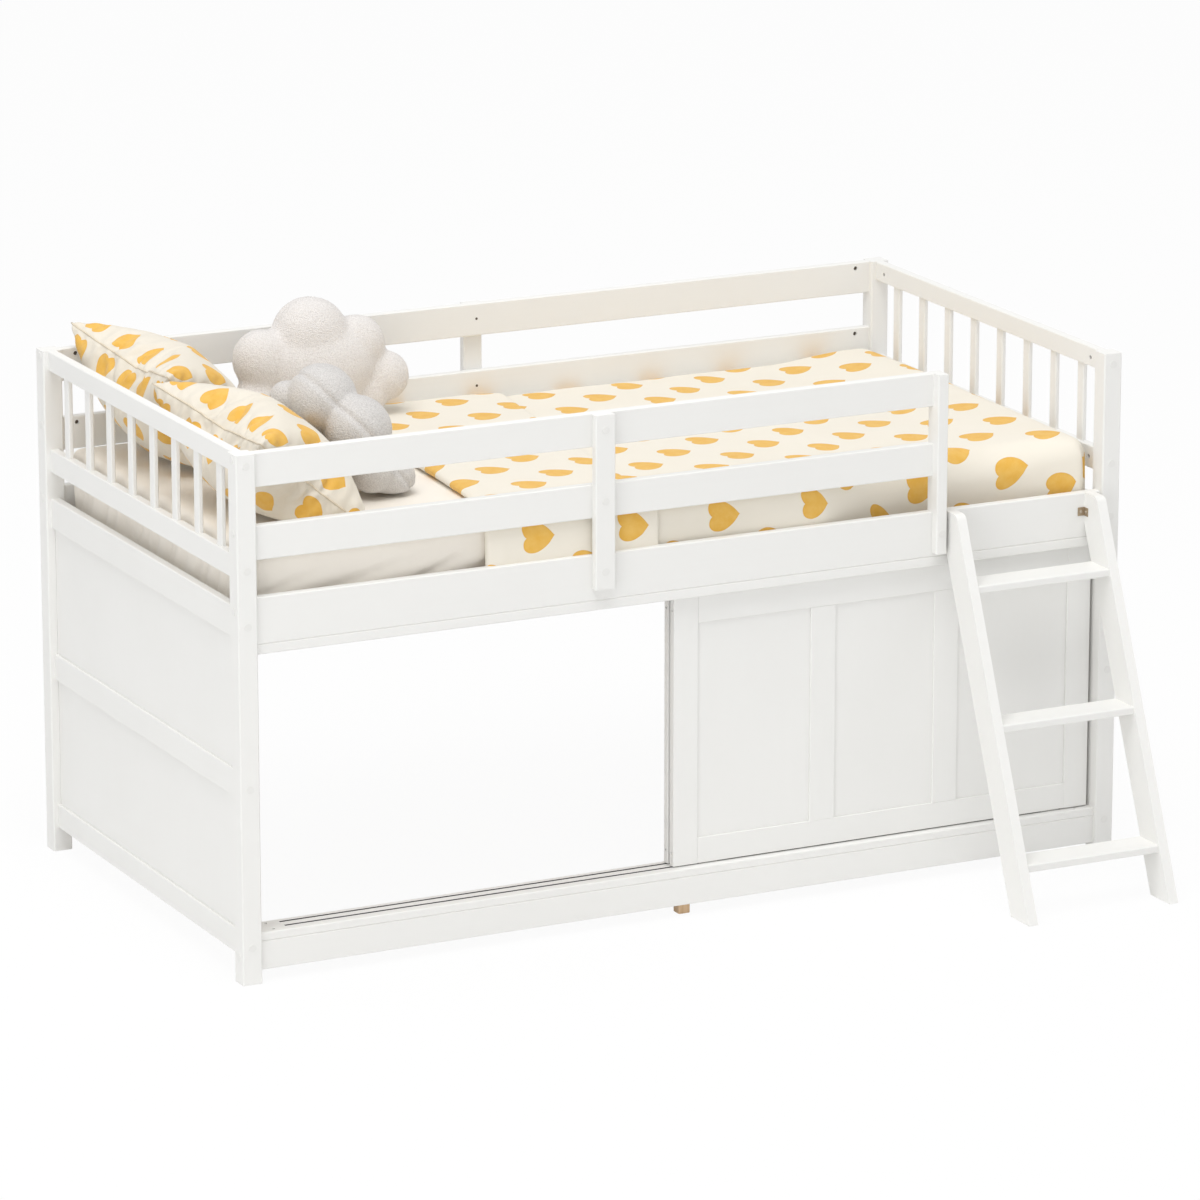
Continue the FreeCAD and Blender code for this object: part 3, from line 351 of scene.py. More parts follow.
paints = {axis: paintMaterial("offWhitePaint_" + axis, axis, paintLook) for axis in "xyz"}
panelPaint = paintMaterial("panelPaint", "z", dict(paintLook, across=60.0, grainDepth=0.0002))
pines = {axis: pineMaterial("barePinePaintedLight_" + axis, axis, pinePaintedLightLook) for axis in "xyz"}
hards = {name: hardMaterial(name, look) for name, look in hardLooks.items()}
grainAlongX = ("back_upper_guard_rail", "back_lower_guard_rail", "back_side_rail", "front_upper_guard_rail",
               "front_lower_guard_rail", "front_side_rail", "bottom_front_rail", "bottom_track_board",
               "top_track_board", "ladder_rungs", "front_door_rails", "rear_door_rails")
grainAlongY = tuple(f"{end}_{rail}" for end in ("head", "foot") for rail in
                    ("top_rail", "guard_rail", "upper_panel_rail", "middle_panel_rail", "bottom_rail"))
otherFinishes = {
    "track_channels": hards["trackPlastic"], "front_door_glides": hards["glideNylon"],
    "rear_door_glides": hards["glideNylon"], "ladder_brackets": hards["bronzeSteel"],
    "connecting_bolts": hards["zincSteel"], "barrel_nuts": hards["zincSteel"],
    "bolt_caps": hards["capPlastic"],
    "centre_support_leg": pines["z"], "slat_ledgers": pines["x"], "bed_slats": pines["y"],
}
softNodes = ("mattress", "quilt", "pillow_front", "pillow_back", "large_cloud", "small_cloud")
for name, item in nodes.items():
    if name in softNodes:
        continue
    if name in otherFinishes:
        finish = otherFinishes[name]
    elif name.endswith(("_panel", "_panels")):
        finish = panelPaint
    else:
        finish = paints["x" if name in grainAlongX else "y" if name in grainAlongY else "z"]
    item.data.materials.clear()
    item.data.materials.append(finish)
print("finishes set on the frame")

sheetCottonPaintedLight = cottonMaterial("beigeSheetPaintedLight", sheetPaintedLightLook, 0.0, 0.0, printed=False)
quiltCotton = cottonMaterial("heartQuilt", printLook, 0.2538, -0.413)
pillowCotton = cottonMaterial("heartPillow", pillowPrint, 0.02, 0.03)
pipingCotton = cottonMaterial("seamPiping", pipingLook, 0.0, 0.0, printed=False)
fleeces = {node: fleeceMaterial("fleece_" + node, look) for node, look in fleeceLooks.items()}
print("cloth finishes made")


# bedding


def inflate(piece, make):
    # cloth pressure with no weight; a point moves no further than the cap
    before = [vertex.co.copy() for vertex in piece.data.vertices]
    cloth = piece.modifiers.new("stuffing", "CLOTH")
    cloth.settings.use_pressure = True
    cloth.settings.uniform_pressure_force = make["pressure"]
    cloth.settings.tension_stiffness = make["tension"]
    cloth.settings.compression_stiffness = make["tension"]
    cloth.settings.shear_stiffness = make["shear"]
    cloth.settings.bending_stiffness = make["bending"]
    cloth.settings.air_damping = make["damping"]
    cloth.settings.effector_weights.gravity = 0
    cloth.collision_settings.use_collision = False
    cloth.point_cache.frame_start = 1
    cloth.point_cache.frame_end = make["frames"]
    for number in range(1, make["frames"] + 1):
        scene.frame_set(number)
    pick(piece)
    bpy.ops.object.modifier_apply(modifier="stuffing")
    scene.frame_set(1)
    for vertex, start in zip(piece.data.vertices, before):
        step = vertex.co - start
        if step.length > make["cap"]:
            vertex.co = start + step * (make["cap"] / step.length)


def flatMap(piece, places):
    # UV map in metres of flat cloth, one place for each vertex
    layer = piece.data.uv_layers.new(name="flat")
    for loop in piece.data.loops:
        layer.data[loop.index].uv = places[loop.vertex_index]


mattressLow, mattressHigh = (Vector(corner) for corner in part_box("mattress"))
mattressMake = {
    "round": 0.020, "roundSteps": 5, "voxel": 0.008, "smooth": 2, "crease": 0.011, "creaseLow": 0.055,
    "creaseHigh": 0.128, "sideSlant": (-6.0, 18.0), "endSlant": (22.0, 8.0), "changing": 2.2,
    "sharp": 2.3,
    # under the quilt: the front edge's round and how far it is pressed in, against x from the head end
    "frontRound": ((0.60, 0.030), (1.32, 0.031), (1.46, 0.052), (1.74, 0.055), (1.95, 0.031)),
    "pressed": ((1.34, 0.0), (1.47, 0.031), (1.76, 0.035), (1.95, 0.002)), "edgeRound": 0.030,
    "covered": (0.60, 0.68), "under": 0.003,
    # the bedding stands higher towards the foot, most at the back; x and y in the frame
    "footRise": 0.018, "riseAlong": (0.66, 0.94), "riseAcross": (-0.20, 0.10), "riseLeast": 0.85,
}


def frontRoundAt(x, make):
    return mixAlong(make["frontRound"], x - bedCorner.x)


def pressedAt(x, make):
    return mixAlong(make["pressed"], x - bedCorner.x)


def footRiseAt(x, y, make):
    across = make["riseLeast"] + (1 - make["riseLeast"]) * smoothStep(*make["riseAcross"], y)
    return make["footRise"] * smoothStep(*make["riseAlong"], x) * across


def makeMattress(make):
    clearSelection()
    bpy.ops.mesh.primitive_cube_add(size=1, location=(0, 0, 0))
    piece = bpy.context.object
    middle = (mattressLow + mattressHigh) / 2
    editAll(piece)
    bpy.ops.transform.resize(value=mattressHigh - mattressLow)
    bpy.ops.transform.translate(value=middle)
    bpy.ops.mesh.bevel(offset=make["round"], segments=make["roundSteps"], affect="EDGES")
    endEdit()
    piece.data.remesh_voxel_size = make["voxel"]
    pick(piece)
    bpy.ops.object.voxel_remesh()
    editAll(piece)
    bpy.ops.mesh.vertices_smooth(factor=0.5, repeat=make["smooth"])
    endEdit()

    def creased(at, normal, index):
        low = 1 - smoothStep(make["creaseLow"], make["creaseHigh"], at.z - mattressLow.z)
        onEnd = abs(normal.x) > abs(normal.y)
        run = at.y if onEnd else at.x
        slant = make["endSlant"] if onEnd else make["sideSlant"]
        lean = Vector((run * slant[0] + at.z * slant[1], run * make["changing"], 0.4))
        pull = max(0.0, 1 - make["sharp"] * abs(noise.noise(lean))) ** 2
        return at - normal * make["crease"] * pull * low * (1 - abs(normal.z))

    def underQuilt(at, normal, index):
        covered = smoothStep(*make["covered"], at.x - bedCorner.x)
        front, foot = frontRoundAt(at.x, make), make["edgeRound"]
        baseX = min(at.x, mattressHigh.x - foot)
        baseY = min(max(at.y, mattressLow.y + pressedAt(at.x, make) + front), mattressHigh.y - foot)
        footReach = foot - make["under"]
        sideReach = (front if at.y < baseY else foot) - make["under"]
        partX, partY = (at.x - baseX) / footReach, (at.y - baseY) / sideReach
        share = partX / (partX + abs(partY)) if partX > 0 else 0.0
        tall = sideReach + (footReach - sideReach) * share
        baseZ = min(at.z, mattressHigh.z - tall)
        partZ = (at.z - baseZ) / tall
        plan = max(1.0, math.hypot(partX, partY))
        partX, partY = partX / plan, partY / plan
        full = max(1.0, math.hypot(partX, partY, partZ))
        reach = Vector((partX * footReach, partY * sideReach, partZ * tall)) / full
        place = Vector((baseX, baseY, baseZ)) + reach
        height = (place.z - mattressLow.z) / (mattressHigh.z - mattressLow.z)
        place.z += footRiseAt(at.x, at.y, make) * height
        return at.lerp(place, covered)

    # folds low on the sides first, then the edges that the quilt covers
    reshape(piece, creased)
    reshape(piece, underQuilt)
    flatMap(piece, [(v.co.x + v.co.z, v.co.y + v.co.z) for v in piece.data.vertices])
    smoothShade(piece)
    wear(piece, "fittedSheetMattress", sheetCottonPaintedLight, "mattress")
    return piece


makeMattress(mattressMake)
print("mattress made")

quiltMake = {
    "thick": 0.006, "lift": 0.0042, "flapLift": 0.0165, "roll": 0.0062,
    "frontDrop": 0.118, "backDrop": 0.118, "footDrop": 0.118, "puff": 0.0035,
    "pleat": 0.30, "pleatTurn": 46.0, "pleatWidth": 9.0,
    # the print slides to the front and to the head at the entry; x from the head end
    "slide": 0.035, "slip": 0.034, "slipOver": 0.014, "slipMost": 1.4, "slideAlong": (1.26, 1.58),
    # x of the fold and of the flap's free edge, from the head end, against y from the front
    "fold": ((-0.10, 0.566), (0.03, 0.566), (0.12, 0.592), (0.223, 0.613), (0.494, 0.630), (1.05, 0.662)),
    "free": ((-0.10, 0.942), (0.05, 0.943), (0.30, 0.962), (0.60, 0.998), (1.05, 1.056)),
    "drift": ((-0.34, 0.0), (-0.05, -0.045), (0.67, -0.085)), "flapSlip": 0.016,
    "rollOut": 1.4, "flapStart": 0.004, "flapStartFade": 9, "flapEnd": 0.0045, "flapEndFrom": 0.8,
    "broadPuff": (4.2, 4.6), "finePuff": (10, 8), "finePuffShare": 0.5, "puffRise": 0.6,
    "puffUnder": 0.4, "underMargin": 0.02, "flatFold": 0.62, "flatFlap": 0.40,
    "rowsFlap": 24, "rowsRoll": 6, "rowsTop": 92, "columns": 96, "foldNear": 0.60,
}


def quiltSoftness(a, b, make):
    broad = noise.noise(Vector((a * make["broadPuff"][0], b * make["broadPuff"][1], 0.4)))
    fine = noise.noise(Vector((a * make["finePuff"][0], b * make["finePuff"][1], 3.7)))
    return broad + make["finePuffShare"] * fine


def overMattress(a, b, lift, front, pressed, make):
    # lays a flat point over the mattress, round its front, back and foot edges and down its sides
    foot = mattressMake["edgeRound"]
    baseX = min(a, mattressHigh.x - foot)
    baseY = min(max(b, mattressLow.y + pressed + front), mattressHigh.y - foot)
    overX, overY = a - baseX, b - baseY
    beyond = math.hypot(overX, overY)
    if beyond == 0:
        return Vector((a, b, mattressHigh.z + lift))
    footReach = foot + lift
    sideReach = (front if overY < 0 else foot) + lift
    radius = sideReach + (footReach - sideReach) * overX / (overX + abs(overY))
    bend = min(beyond / radius, math.pi / 2)
    out = math.sin(bend)
    down = radius * (1 - math.cos(bend)) + max(0.0, beyond - radius * math.pi / 2)
    if overX > 0 > overY:   # a pleat takes up the spare cloth at the front corner
        angle = math.degrees(math.atan2(overX, -overY))
        turn = (angle - make["pleatTurn"]) / make["pleatWidth"]
        out *= 1 - make["pleat"] * out * math.exp(-turn * turn)
    return Vector((baseX + overX / beyond * footReach * out, baseY + overY / beyond * sideReach * out,
                   mattressHigh.z + lift - down))


def makeQuilt(make):
    rows = make["rowsTop"] + make["rowsRoll"] + make["rowsFlap"]
    clearSelection()
    bpy.ops.mesh.primitive_grid_add(x_subdivisions=rows, y_subdivisions=make["columns"], size=1)
    piece = bpy.context.object
    inset = mattressMake["edgeRound"]
    quarter = (inset + make["lift"]) * math.pi / 2
    spare = 2 - math.pi / 2   # cloth that a rounder edge saves, for each metre of its radius
    hemFront = mattressLow.y + inset - quarter - make["frontDrop"] + inset
    hemBack = mattressHigh.y - inset + quarter + make["backDrop"] - inset
    hemFoot = mattressHigh.x - inset + quarter + make["footDrop"] - inset
    places = []
    for vertex in piece.data.vertices:
        row, column = (vertex.co.x + 0.5) * rows, vertex.co.y + 0.5
        topShare = max(0.0, make["rowsTop"] - row) / make["rowsTop"]
        foldX = bedCorner.x + make["foldNear"]
        nearX = foldX + topShare * (hemFoot - foldX)
        front, pressed = frontRoundAt(nearX, mattressMake), pressedAt(nearX, mattressMake)
        saved = pressed + spare * (front - inset)
        b = hemFront + saved + (hemBack - hemFront - saved) * column
        fold = mixAlong(make["fold"], b - bedCorner.y) + bedCorner.x
        free = mixAlong(make["free"], b - bedCorner.y) + bedCorner.x
        middleLift = (make["lift"] + make["flapLift"]) / 2
        if row <= make["rowsTop"]:
            a = hemFoot + (fold - hemFoot) * row / make["rowsTop"]
            lift = make["lift"]
        elif row < make["rowsTop"] + make["rowsRoll"]:
            turn = math.pi * (row - make["rowsTop"]) / make["rowsRoll"]
            a = fold - make["roll"] * math.sin(turn) * make["rollOut"]
            lift = middleLift - math.cos(turn) * (make["flapLift"] - make["lift"]) / 2
        else:
            share = (row - make["rowsTop"] - make["rowsRoll"]) / make["rowsFlap"]
            a = fold + (free - fold) * share
            lift = make["flapLift"] + make["flapStart"] * math.exp(-share * make["flapStartFade"])
            lift -= make["flapEnd"] * smoothStep(make["flapEndFrom"], 1.0, share)
        underFlap = row <= make["rowsTop"] and a < free + make["underMargin"]
        puff = make["puff"] * (make["puffUnder"] if underFlap else 1.0)
        lift += puff * (quiltSoftness(a, b, make) + make["puffRise"])
        vertex.co = overMattress(a, b, lift, front, pressed, make)
        vertex.co.z += footRiseAt(min(a, mattressHigh.x), b, mattressMake)
        over = (mattressLow.y + pressed + front - b) / ((front + lift) * math.pi / 2)
        near = 1 - smoothStep(*make["slideAlong"], nearX - bedCorner.x)
        v = b - saved * near * min(1.0, max(0.0, over)) + make["slide"] * (1 - near)
        if row > make["rowsTop"]:
            v += make["flapSlip"]
        slip = make["slip"] + make["slipOver"] * min(make["slipMost"], max(0.0, over))
        places.append((a - mixAlong(make["drift"], v) + slip * (1 - near), v))
    flatMap(piece, places)
    editAll(piece)
    bpy.ops.mesh.normals_make_consistent(inside=False)
    endEdit()
    solid = piece.modifiers.new("filling", "SOLIDIFY")
    solid.thickness = make["thick"]
    solid.offset = 0
    smooth = piece.modifiers.new("soften", "SUBSURF")
    smooth.levels = 1
    smooth.render_levels = 1
    applyAll(piece)
    smoothShade(piece)
    wear(piece, "heartQuilt", quiltCotton, "quilt")
    return piece


makeQuilt(quiltMake)
print("quilt made")

pillowMake = {
    "depth": 0.376, "width": 0.505, "thin": 0.008, "cuts": (54, 72), "hair": 1e-5,
    # cloth pressure, from a start that swells a little in the middle
    "swell": 1.5, "uneven": 0.0006, "unevenScale": 40, "pressure": 6, "frames": 21, "cap": 0.125,
    "tension": 15, "shear": 5, "bending": 0.5, "damping": 2,
    # gathers along the seam
    "gather": 0.0042, "gatherFade": 0.032, "gatherRise": 0.005, "gatherStep": 0.031, "gatherDrift": 2.4,
    "gatherWander": (9, 3, 3), "piping": 0.0022, "pipingSteps": 2,
    # how softly it settles on the mattress and against the head slats
    "restGap": 0.002, "restSoft": 0.03, "headGap": 0.040, "headSoft": 0.02,
}
pillowPoses = {
    # middle from the head end, front and floor; start is the print's place on the cloth
    "pillow_front": {"middle": (0.204, 0.334, 0.990), "slope": 40, "turn": 5, "mirror": 1,
                     "start": (0.210, 0.088), "tuck": 0.14},
    "pillow_back": {"middle": (0.198, 0.795, 1.010), "slope": 46, "turn": 3, "mirror": -1,
                    "start": (0.218, 0.088), "tuck": 0.0},
}


def sewPillow(make):
    clearSelection()
    bpy.ops.mesh.primitive_grid_add(x_subdivisions=make["cuts"][0], y_subdivisions=make["cuts"][1], size=1)
    piece = bpy.context.object
    editAll(piece)
    bpy.ops.transform.resize(value=(make["depth"], make["width"], 1))
    bpy.ops.mesh.extrude_region_move(TRANSFORM_OT_translate={"value": (0, 0, make["thin"])})
    bpy.ops.mesh.select_all(action="SELECT")
    bpy.ops.transform.translate(value=(0, 0, -make["thin"] / 2))
    bpy.ops.mesh.normals_make_consistent(inside=False)
    endEdit()
    flatPlaces = [(vertex.co.x, vertex.co.y) for vertex in piece.data.vertices]
    halfDepth, halfWidth = make["depth"] / 2, make["width"] / 2
    rim = [v.index for v in piece.data.vertices
           if abs(abs(v.co.x) - halfDepth) < make["hair"] or abs(abs(v.co.y) - halfWidth) < make["hair"]]
    for vertex in piece.data.vertices:   # a small start so that pressure finds both faces
        middle = (1 - (vertex.co.x / halfDepth) ** 2) * (1 - (vertex.co.y / halfWidth) ** 2)
        vertex.co.z *= 1 + make["swell"] * middle
        vertex.co.z += make["uneven"] * noise.noise(vertex.co * make["unevenScale"])
    inflate(piece, make)

    def gathered(at, normal, index):
        p, q = flatPlaces[index]
        nearDepth, nearWidth = halfDepth - abs(p), halfWidth - abs(q)
        inward, along = min((nearDepth, q), (nearWidth, p))
        fade = math.exp(-inward / make["gatherFade"]) * (1 - math.exp(-inward / make["gatherRise"]))
        wander = Vector((along, p, q)) * Vector(make["gatherWander"])
        phase = math.tau * along / make["gatherStep"] + make["gatherDrift"] * noise.noise(wander)
        wave = math.sin(phase)
        return at + normal * make["gather"] * fade * wave

    reshape(piece, gathered)
    flatMap(piece, flatPlaces)
    return piece, rim, flatPlaces


def posePillow(source, rim, flatPlaces, node, pose, make):
    pick(source)
    bpy.ops.object.duplicate()
    piece = bpy.context.object
    slope, turn = math.radians(pose["slope"]), math.radians(pose["turn"])
    down = Vector((math.cos(slope), 0, -math.sin(slope)))
    out = Vector((math.sin(slope), 0, math.cos(slope)))
    side = Vector((0, 1, 0))
    middle = bedCorner + Vector(pose["middle"])
    for vertex in piece.data.vertices:
        p, q, r = vertex.co
        q *= pose["mirror"]
        if p > 0 > q:
            p *= 1 - pose["tuck"] * (q / make["width"] * 2) ** 2
        p, q = p * math.cos(turn) - q * math.sin(turn), p * math.sin(turn) + q * math.cos(turn)
        place = middle + down * p + side * q + out * r
        place.z = settle(place.z, mattressHigh.z + make["restGap"], make["restSoft"])
        place.x = settle(place.x, bedCorner.x + make["headGap"], make["headSoft"])
        vertex.co = place
    layer = piece.data.uv_layers["flat"]
    for loop in piece.data.loops:
        u, v = flatPlaces[loop.vertex_index]
        layer.data[loop.index].uv = (u + pose["start"][0], v * pose["mirror"] + pose["start"][1])
    editAll(piece)
    bpy.ops.mesh.normals_make_consistent(inside=False)
    endEdit()
    points = []
    for pair in rimOrder(flatPlaces, rim, make):
        points.append(sum((piece.data.vertices[index].co for index in pair), Vector()) / len(pair))
    pipe = pipingAlong(points, make)
    smooth = piece.modifiers.new("soften", "SUBSURF")
    smooth.levels = 1
    smooth.render_levels = 1
    applyAll(piece)
    smoothShade(piece)
    place = node.split("_")[1]
    wear(piece, "heartPillow_" + place, pillowCotton, node)
    pipe.name = "piping_" + place
    pipe.data.name = pipe.name
    pipe.data.materials.clear()
    pipe.data.materials.append(pipingCotton)
    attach(pipe, "frame")
    return piece


def rimOrder(flatPlaces, rim, make):
    # pairs of rim points, one on each face, in order round the pillow
    pairs = {}
    for index in rim:
        u, v = flatPlaces[index]
        pairs.setdefault((round(u, 5), round(v, 5)), []).append(index)
    halfDepth, halfWidth = make["depth"] / 2, make["width"] / 2
    edge = 0.9999

    def along(key):
        # each side of the rim is 2 long
        u, v = key[0] / halfDepth, key[1] / halfWidth
        if u > edge and v < edge:
            return v + 1
        if v > edge and u > -edge:
            return 2 + 1 - u
        if u < -edge and v > -edge:
            return 4 + 1 - v
        return 6 + u + 1

    return [pairs[key] for key in sorted(pairs, key=along)]


def pipingAlong(points, make):
    clearSelection()
    bpy.ops.curve.primitive_bezier_circle_add(radius=1)
    curve = bpy.context.object
    curve.data.splines.clear()
    spline = curve.data.splines.new("POLY")
    spline.points.add(len(points) - 1)
    for point, place in zip(spline.points, points):
        point.co = (*place, 1)
    spline.use_cyclic_u = True
    curve.data.dimensions = "3D"
    curve.data.bevel_depth = make["piping"]
    curve.data.bevel_resolution = make["pipingSteps"]
    pick(curve)
    bpy.ops.object.convert(target="MESH")
    tube = bpy.context.object
    layer = tube.data.uv_layers.new(name="flat")
    for loop in tube.data.loops:
        place = tube.data.vertices[loop.vertex_index].co
        layer.data[loop.index].uv = (place.x + place.y, place.z)
    smoothShade(tube)
    return tube


pillowSource, pillowRim, pillowFlat = sewPillow(pillowMake)
for node, pose in pillowPoses.items():
    posePillow(pillowSource, pillowRim, pillowFlat, node, pose, pillowMake)
bpy.data.objects.remove(pillowSource)
print("pillows made")

cloudMake = {
    # both clouds: mesh, nap and how softly they settle
    "cloth": {"ballCuts": (40, 24), "voxel": 0.0055, "seamWidth": 0.005, "nap": 0.0006, "napScale": 210,
              "restGap": 0.002, "restSoft": 0.02},
    "large_cloud": {
        # lobes across, back and up from the middle of the cushion, and their radius; a body fills them
        "lobes": ((-0.126, 0, 0.026, 0.066), (-0.014, 0, 0.064, 0.086), (0.092, 0, 0.038, 0.064),
                  (0.152, 0, -0.036, 0.056), (-0.145, 0, -0.060, 0.052), (-0.060, 0, -0.072, 0.056),
                  (0.040, 0, -0.072, 0.056), (0.105, 0, -0.068, 0.052)),
        "body": (0.130, 0.095), "thick": 0.80, "fill": 0.080, "smooth": 12, "seam": 0.004,
        "middle": (0.582, 0.912, 1.020), "right": (1, 0, 0), "up": (0, 0.12, 0.993),
    },
    "small_cloud": {
        # it lies back on the slope of the front pillow
        "lobes": ((-0.117, 0, -0.020, 0.073), (-0.044, -0.002, -0.087, 0.071), (0.043, 0.034, -0.088, 0.050),
                  (0.092, 0.010, -0.072, 0.052), (0.100, 0, 0.010, 0.058), (0.020, 0, 0.048, 0.062),
                  (-0.082, 0, 0.048, 0.058), (-0.150, 0.046, 0.030, 0.037)),
        "body": (0.105, 0.066), "thick": 0.96, "fill": 0.056, "smooth": 4, "seam": 0.006,
        "middle": (0.440, 0.420, 0.993), "right": (0.643, 0, -0.766), "up": (0, 1, 0),
    },
}


def seamDepth(at, make):
    return make["seam"] * math.exp(-(at.y / make["seamWidth"]) ** 2)


def stuffCloud(make):
    # lobes and body in the XZ plane, with the seam at y 0
    parts = [(lobe[:3], (lobe[3], lobe[3] * make["thick"], lobe[3])) for lobe in make["lobes"]]
    parts.append(((0, 0, 0), (make["body"][0], make["fill"], make["body"][1])))
    made = []
    for place, radii in parts:
        clearSelection()
        around, rings = make["ballCuts"]
        bpy.ops.mesh.primitive_uv_sphere_add(segments=around, ring_count=rings, radius=1)
        ball = bpy.context.object
        editAll(ball)
        bpy.ops.transform.resize(value=radii)
        bpy.ops.transform.translate(value=place)
        endEdit()
        made.append(ball)
    clearSelection()
    for ball in made:
        ball.select_set(True)
    bpy.context.view_layer.objects.active = made[0]
    bpy.ops.object.join()
    piece = bpy.context.object
    piece.data.remesh_voxel_size = make["voxel"]
    bpy.ops.object.voxel_remesh()
    editAll(piece)
    bpy.ops.mesh.vertices_smooth(factor=0.5, repeat=make["smooth"])
    endEdit()
    reshape(piece, lambda at, normal, index: at - normal * seamDepth(at, make))
    smooth = piece.modifiers.new("soften", "SUBSURF")
    smooth.levels = 1
    smooth.render_levels = 1
    applyAll(piece)
    reshape(piece, lambda at, normal, index: at + normal * make["nap"] * noise.noise(at * make["napScale"]))
    return piece


def placeCloud(piece, node, make, name):
    right, up = Vector(make["right"]).normalized(), Vector(make["up"]).normalized()
    back = up.cross(right)   # the cushion's own y runs away from its front face
    middle = bedCorner + Vector(make["middle"])

    def placed(at, normal, index):
        place = middle + right * at.x + back * at.y + up * at.z
        place.z = settle(place.z, mattressHigh.z + make["restGap"], make["restSoft"])
        return place

    reshape(piece, placed)
    editAll(piece)
    bpy.ops.mesh.normals_make_consistent(inside=False)
    endEdit()
    smoothShade(piece)
    wear(piece, name, fleeces[node], node)


for node, name in (("large_cloud", "largeCloud"), ("small_cloud", "smallCloud")):
    cloud = dict(cloudMake["cloth"], **cloudMake[node])
    placeCloud(stuffCloud(cloud), node, cloud, name)
print("clouds made")

# ladder

bracketScrewMake = {"radius": 0.0031, "height": 0.0015, "sides": 20, "round": 0.0005, "roundSteps": 2,
                    "socket": 0.0014, "socketDepth": 0.0008, "fromCorner": 0.0092, "plate": 0.0015}


def makeBracketScrews(make):
    # one round head on each leaf of the two angle brackets
    low, high = (Vector(corner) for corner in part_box("ladder_brackets"))
    midZ = (low.z + high.z) / 2
    leafY, screwY = high.y - make["plate"], high.y - make["fromCorner"]
    spots = []
    for wall, into in ((low.x, 1), (high.x, -1)):
        spots.append((Vector((wall + into * make["fromCorner"], leafY, midZ)), Vector((0, -1, 0))))
        spots.append((Vector((wall + into * make["plate"], screwY, midZ)), Vector((into, 0, 0))))
    clearSelection()
    bpy.ops.mesh.primitive_cylinder_add(vertices=make["sides"], radius=make["radius"], depth=make["height"])
    head = bpy.context.object
    editAll(head)
    bpy.ops.mesh.bevel(offset=make["round"], segments=make["roundSteps"], affect="EDGES")
    endEdit()
    top = max(head.data.polygons, key=lambda face: face.normal.z * face.area).index
    for face in head.data.polygons:
        face.select = face.index == top
    bpy.ops.object.mode_set(mode="EDIT")
    bpy.ops.mesh.inset(thickness=make["socket"])
    bpy.ops.mesh.extrude_region_move(TRANSFORM_OT_translate={"value": (0, 0, -make["socketDepth"])})
    endEdit()
    heads = []
    up = Vector((0, 0, 1))
    for spot, outward in spots:
        pick(head)
        bpy.ops.object.duplicate()
        copy = bpy.context.object
        across = up.cross(outward)
        seat = spot + outward * make["height"] / 2
        reshape(copy, lambda at, normal, index: seat + across * at.x + up * at.y + outward * at.z)
        heads.append(copy)
    bpy.data.objects.remove(head)
    clearSelection()
    for copy in heads:
        copy.select_set(True)
    bpy.context.view_layer.objects.active = heads[0]
    bpy.ops.object.join()
    piece = bpy.context.object
    editAll(piece)
    bpy.ops.mesh.normals_make_consistent(inside=False)
    endEdit()
    pick(piece)
    bpy.ops.object.shade_smooth_by_angle()
    piece.name = "bracketScrews"
    piece.data.name = "bracketScrews"
    piece.data.materials.clear()
    piece.data.materials.append(hards["screwSteel"])
    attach(piece, "frame")


makeBracketScrews(bracketScrewMake)
print("bracket screws made")

# studio

studio = {
    "camera": (-5.984, -11.9506, 4.229), "tilt": 74.782, "turn": -26.455, "lens": 199.51, "sensor": 36,
    "far": 200, "floorSize": 120, "floorBelow": 0.0005, "floorTone": 0.9, "floorGlow": 0.94, "sky": 0.60,
    # place, size and power of the key, fill and side lights, and the point they face
    "lights": (((-1.8, -2.0, 8.2), 5.0, 375.0), ((4.5, -4.5, 3.2), 3.0, 20.0),
               ((-6.0, -4.2, 1.7), 4.0, 80.0)),
    "aim": (0, 0.1, 0.6),
}


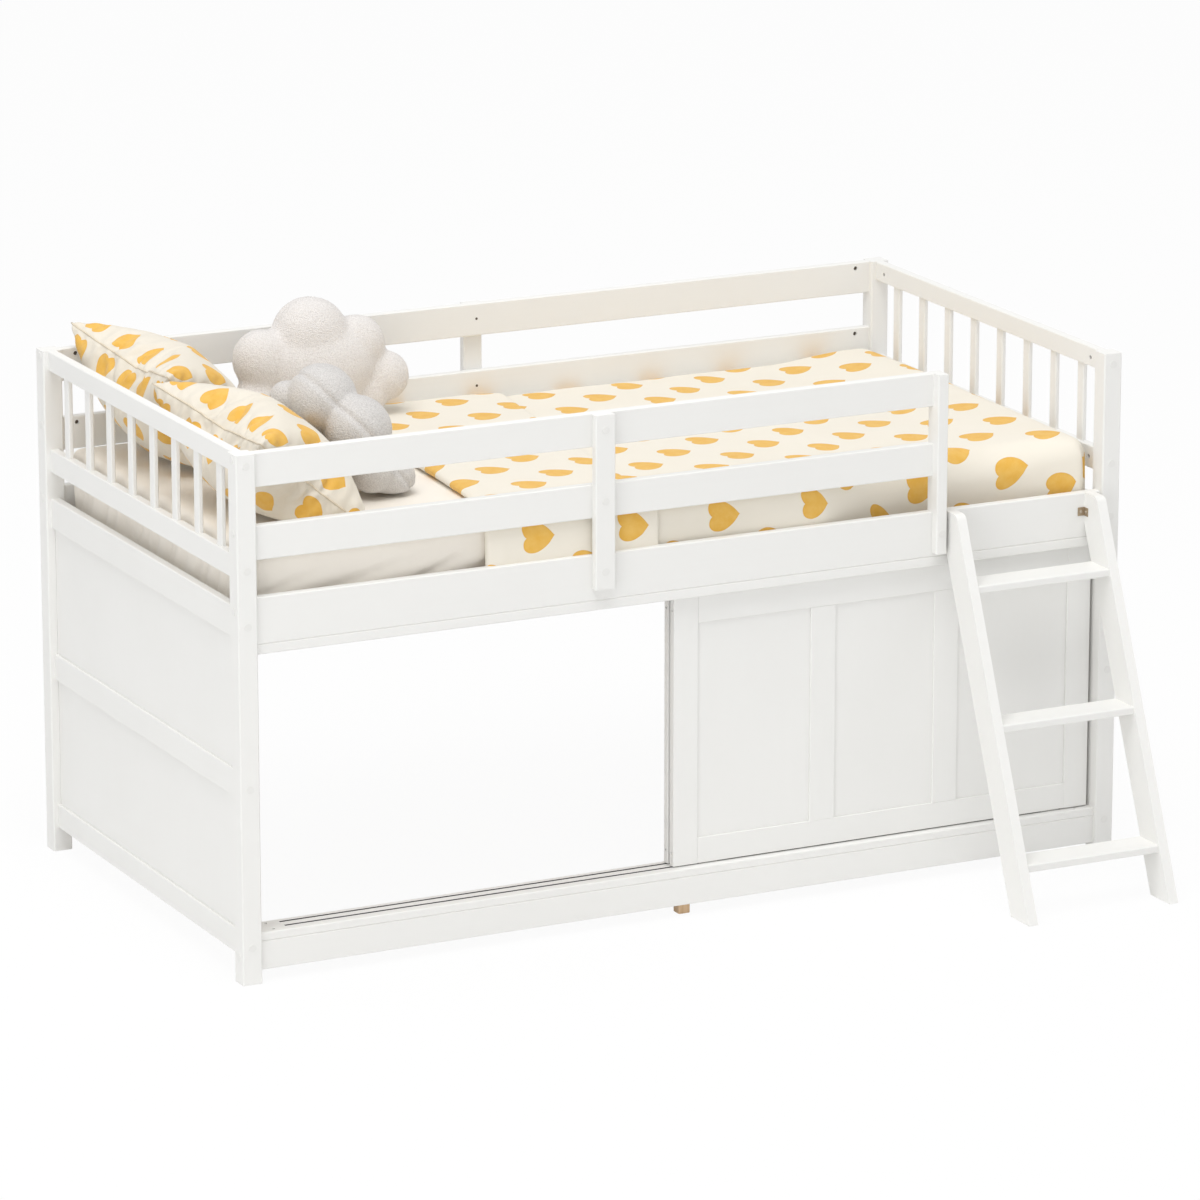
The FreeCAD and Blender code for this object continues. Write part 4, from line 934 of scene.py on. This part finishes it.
def seenShare(tree):
    # 1 for rays that show a surface, 0 for rays that only light one
    rays = add(tree, "ShaderNodeLightPath")
    mirrored = calc(tree, "MAXIMUM", rays.outputs["Is Glossy Ray"], rays.outputs["Is Transmission Ray"])
    return calc(tree, "MAXIMUM", rays.outputs["Is Camera Ray"], mirrored)


def makeFloor(look):
    clearSelection()
    bpy.ops.mesh.primitive_plane_add(size=look["floorSize"], location=(0, 0, -look["floorBelow"]))
    floor = bpy.context.object
    floor.name = "studioFloor"
    material = bpy.data.materials.new("paleFloor")
    material.use_nodes = True
    tree = material.node_tree
    tree.nodes.clear()
    glow = calc(tree, "MULTIPLY", seenShare(tree), look["floorGlow"])
    tone = look["floorTone"]
    matt = add(tree, "ShaderNodeBsdfDiffuse", {"Color": (tone, tone, tone, 1)})
    white = add(tree, "ShaderNodeEmission", {"Color": (1, 1, 1, 1), "Strength": 1.0})
    mixed = add(tree, "ShaderNodeMixShader", {0: glow, 1: matt.outputs[0], 2: white.outputs[0]})
    out = add(tree, "ShaderNodeOutputMaterial")
    tree.links.new(mixed.outputs[0], out.inputs["Surface"])
    floor.data.materials.append(material)


def makeLights(look):
    world = bpy.data.worlds.new("studioSky")
    scene.world = world
    world.use_nodes = True
    tree = world.node_tree
    back = tree.nodes["Background"]
    tree.links.new(spread(tree, seenShare(tree), 0, 1, look["sky"], 1.0), back.inputs["Strength"])
    back.inputs["Color"].default_value = (1, 1, 1, 1)
    for place, size, power in look["lights"]:
        clearSelection()
        bpy.ops.object.light_add(type="AREA", location=place)
        lamp = bpy.context.object
        lamp.data.size = size
        lamp.data.energy = power
        facing = Vector(look["aim"]) - Vector(place)
        lamp.rotation_euler = facing.to_track_quat("-Z", "Y").to_euler()


makeFloor(studio)
makeLights(studio)
clearSelection()
bpy.ops.object.camera_add(location=studio["camera"],
                          rotation=(math.radians(studio["tilt"]), 0, math.radians(studio["turn"])))
viewer = bpy.context.object
viewer.data.lens = studio["lens"]
viewer.data.sensor_width = studio["sensor"]
viewer.data.clip_end = studio["far"]
scene.camera = viewer
print("studio made")
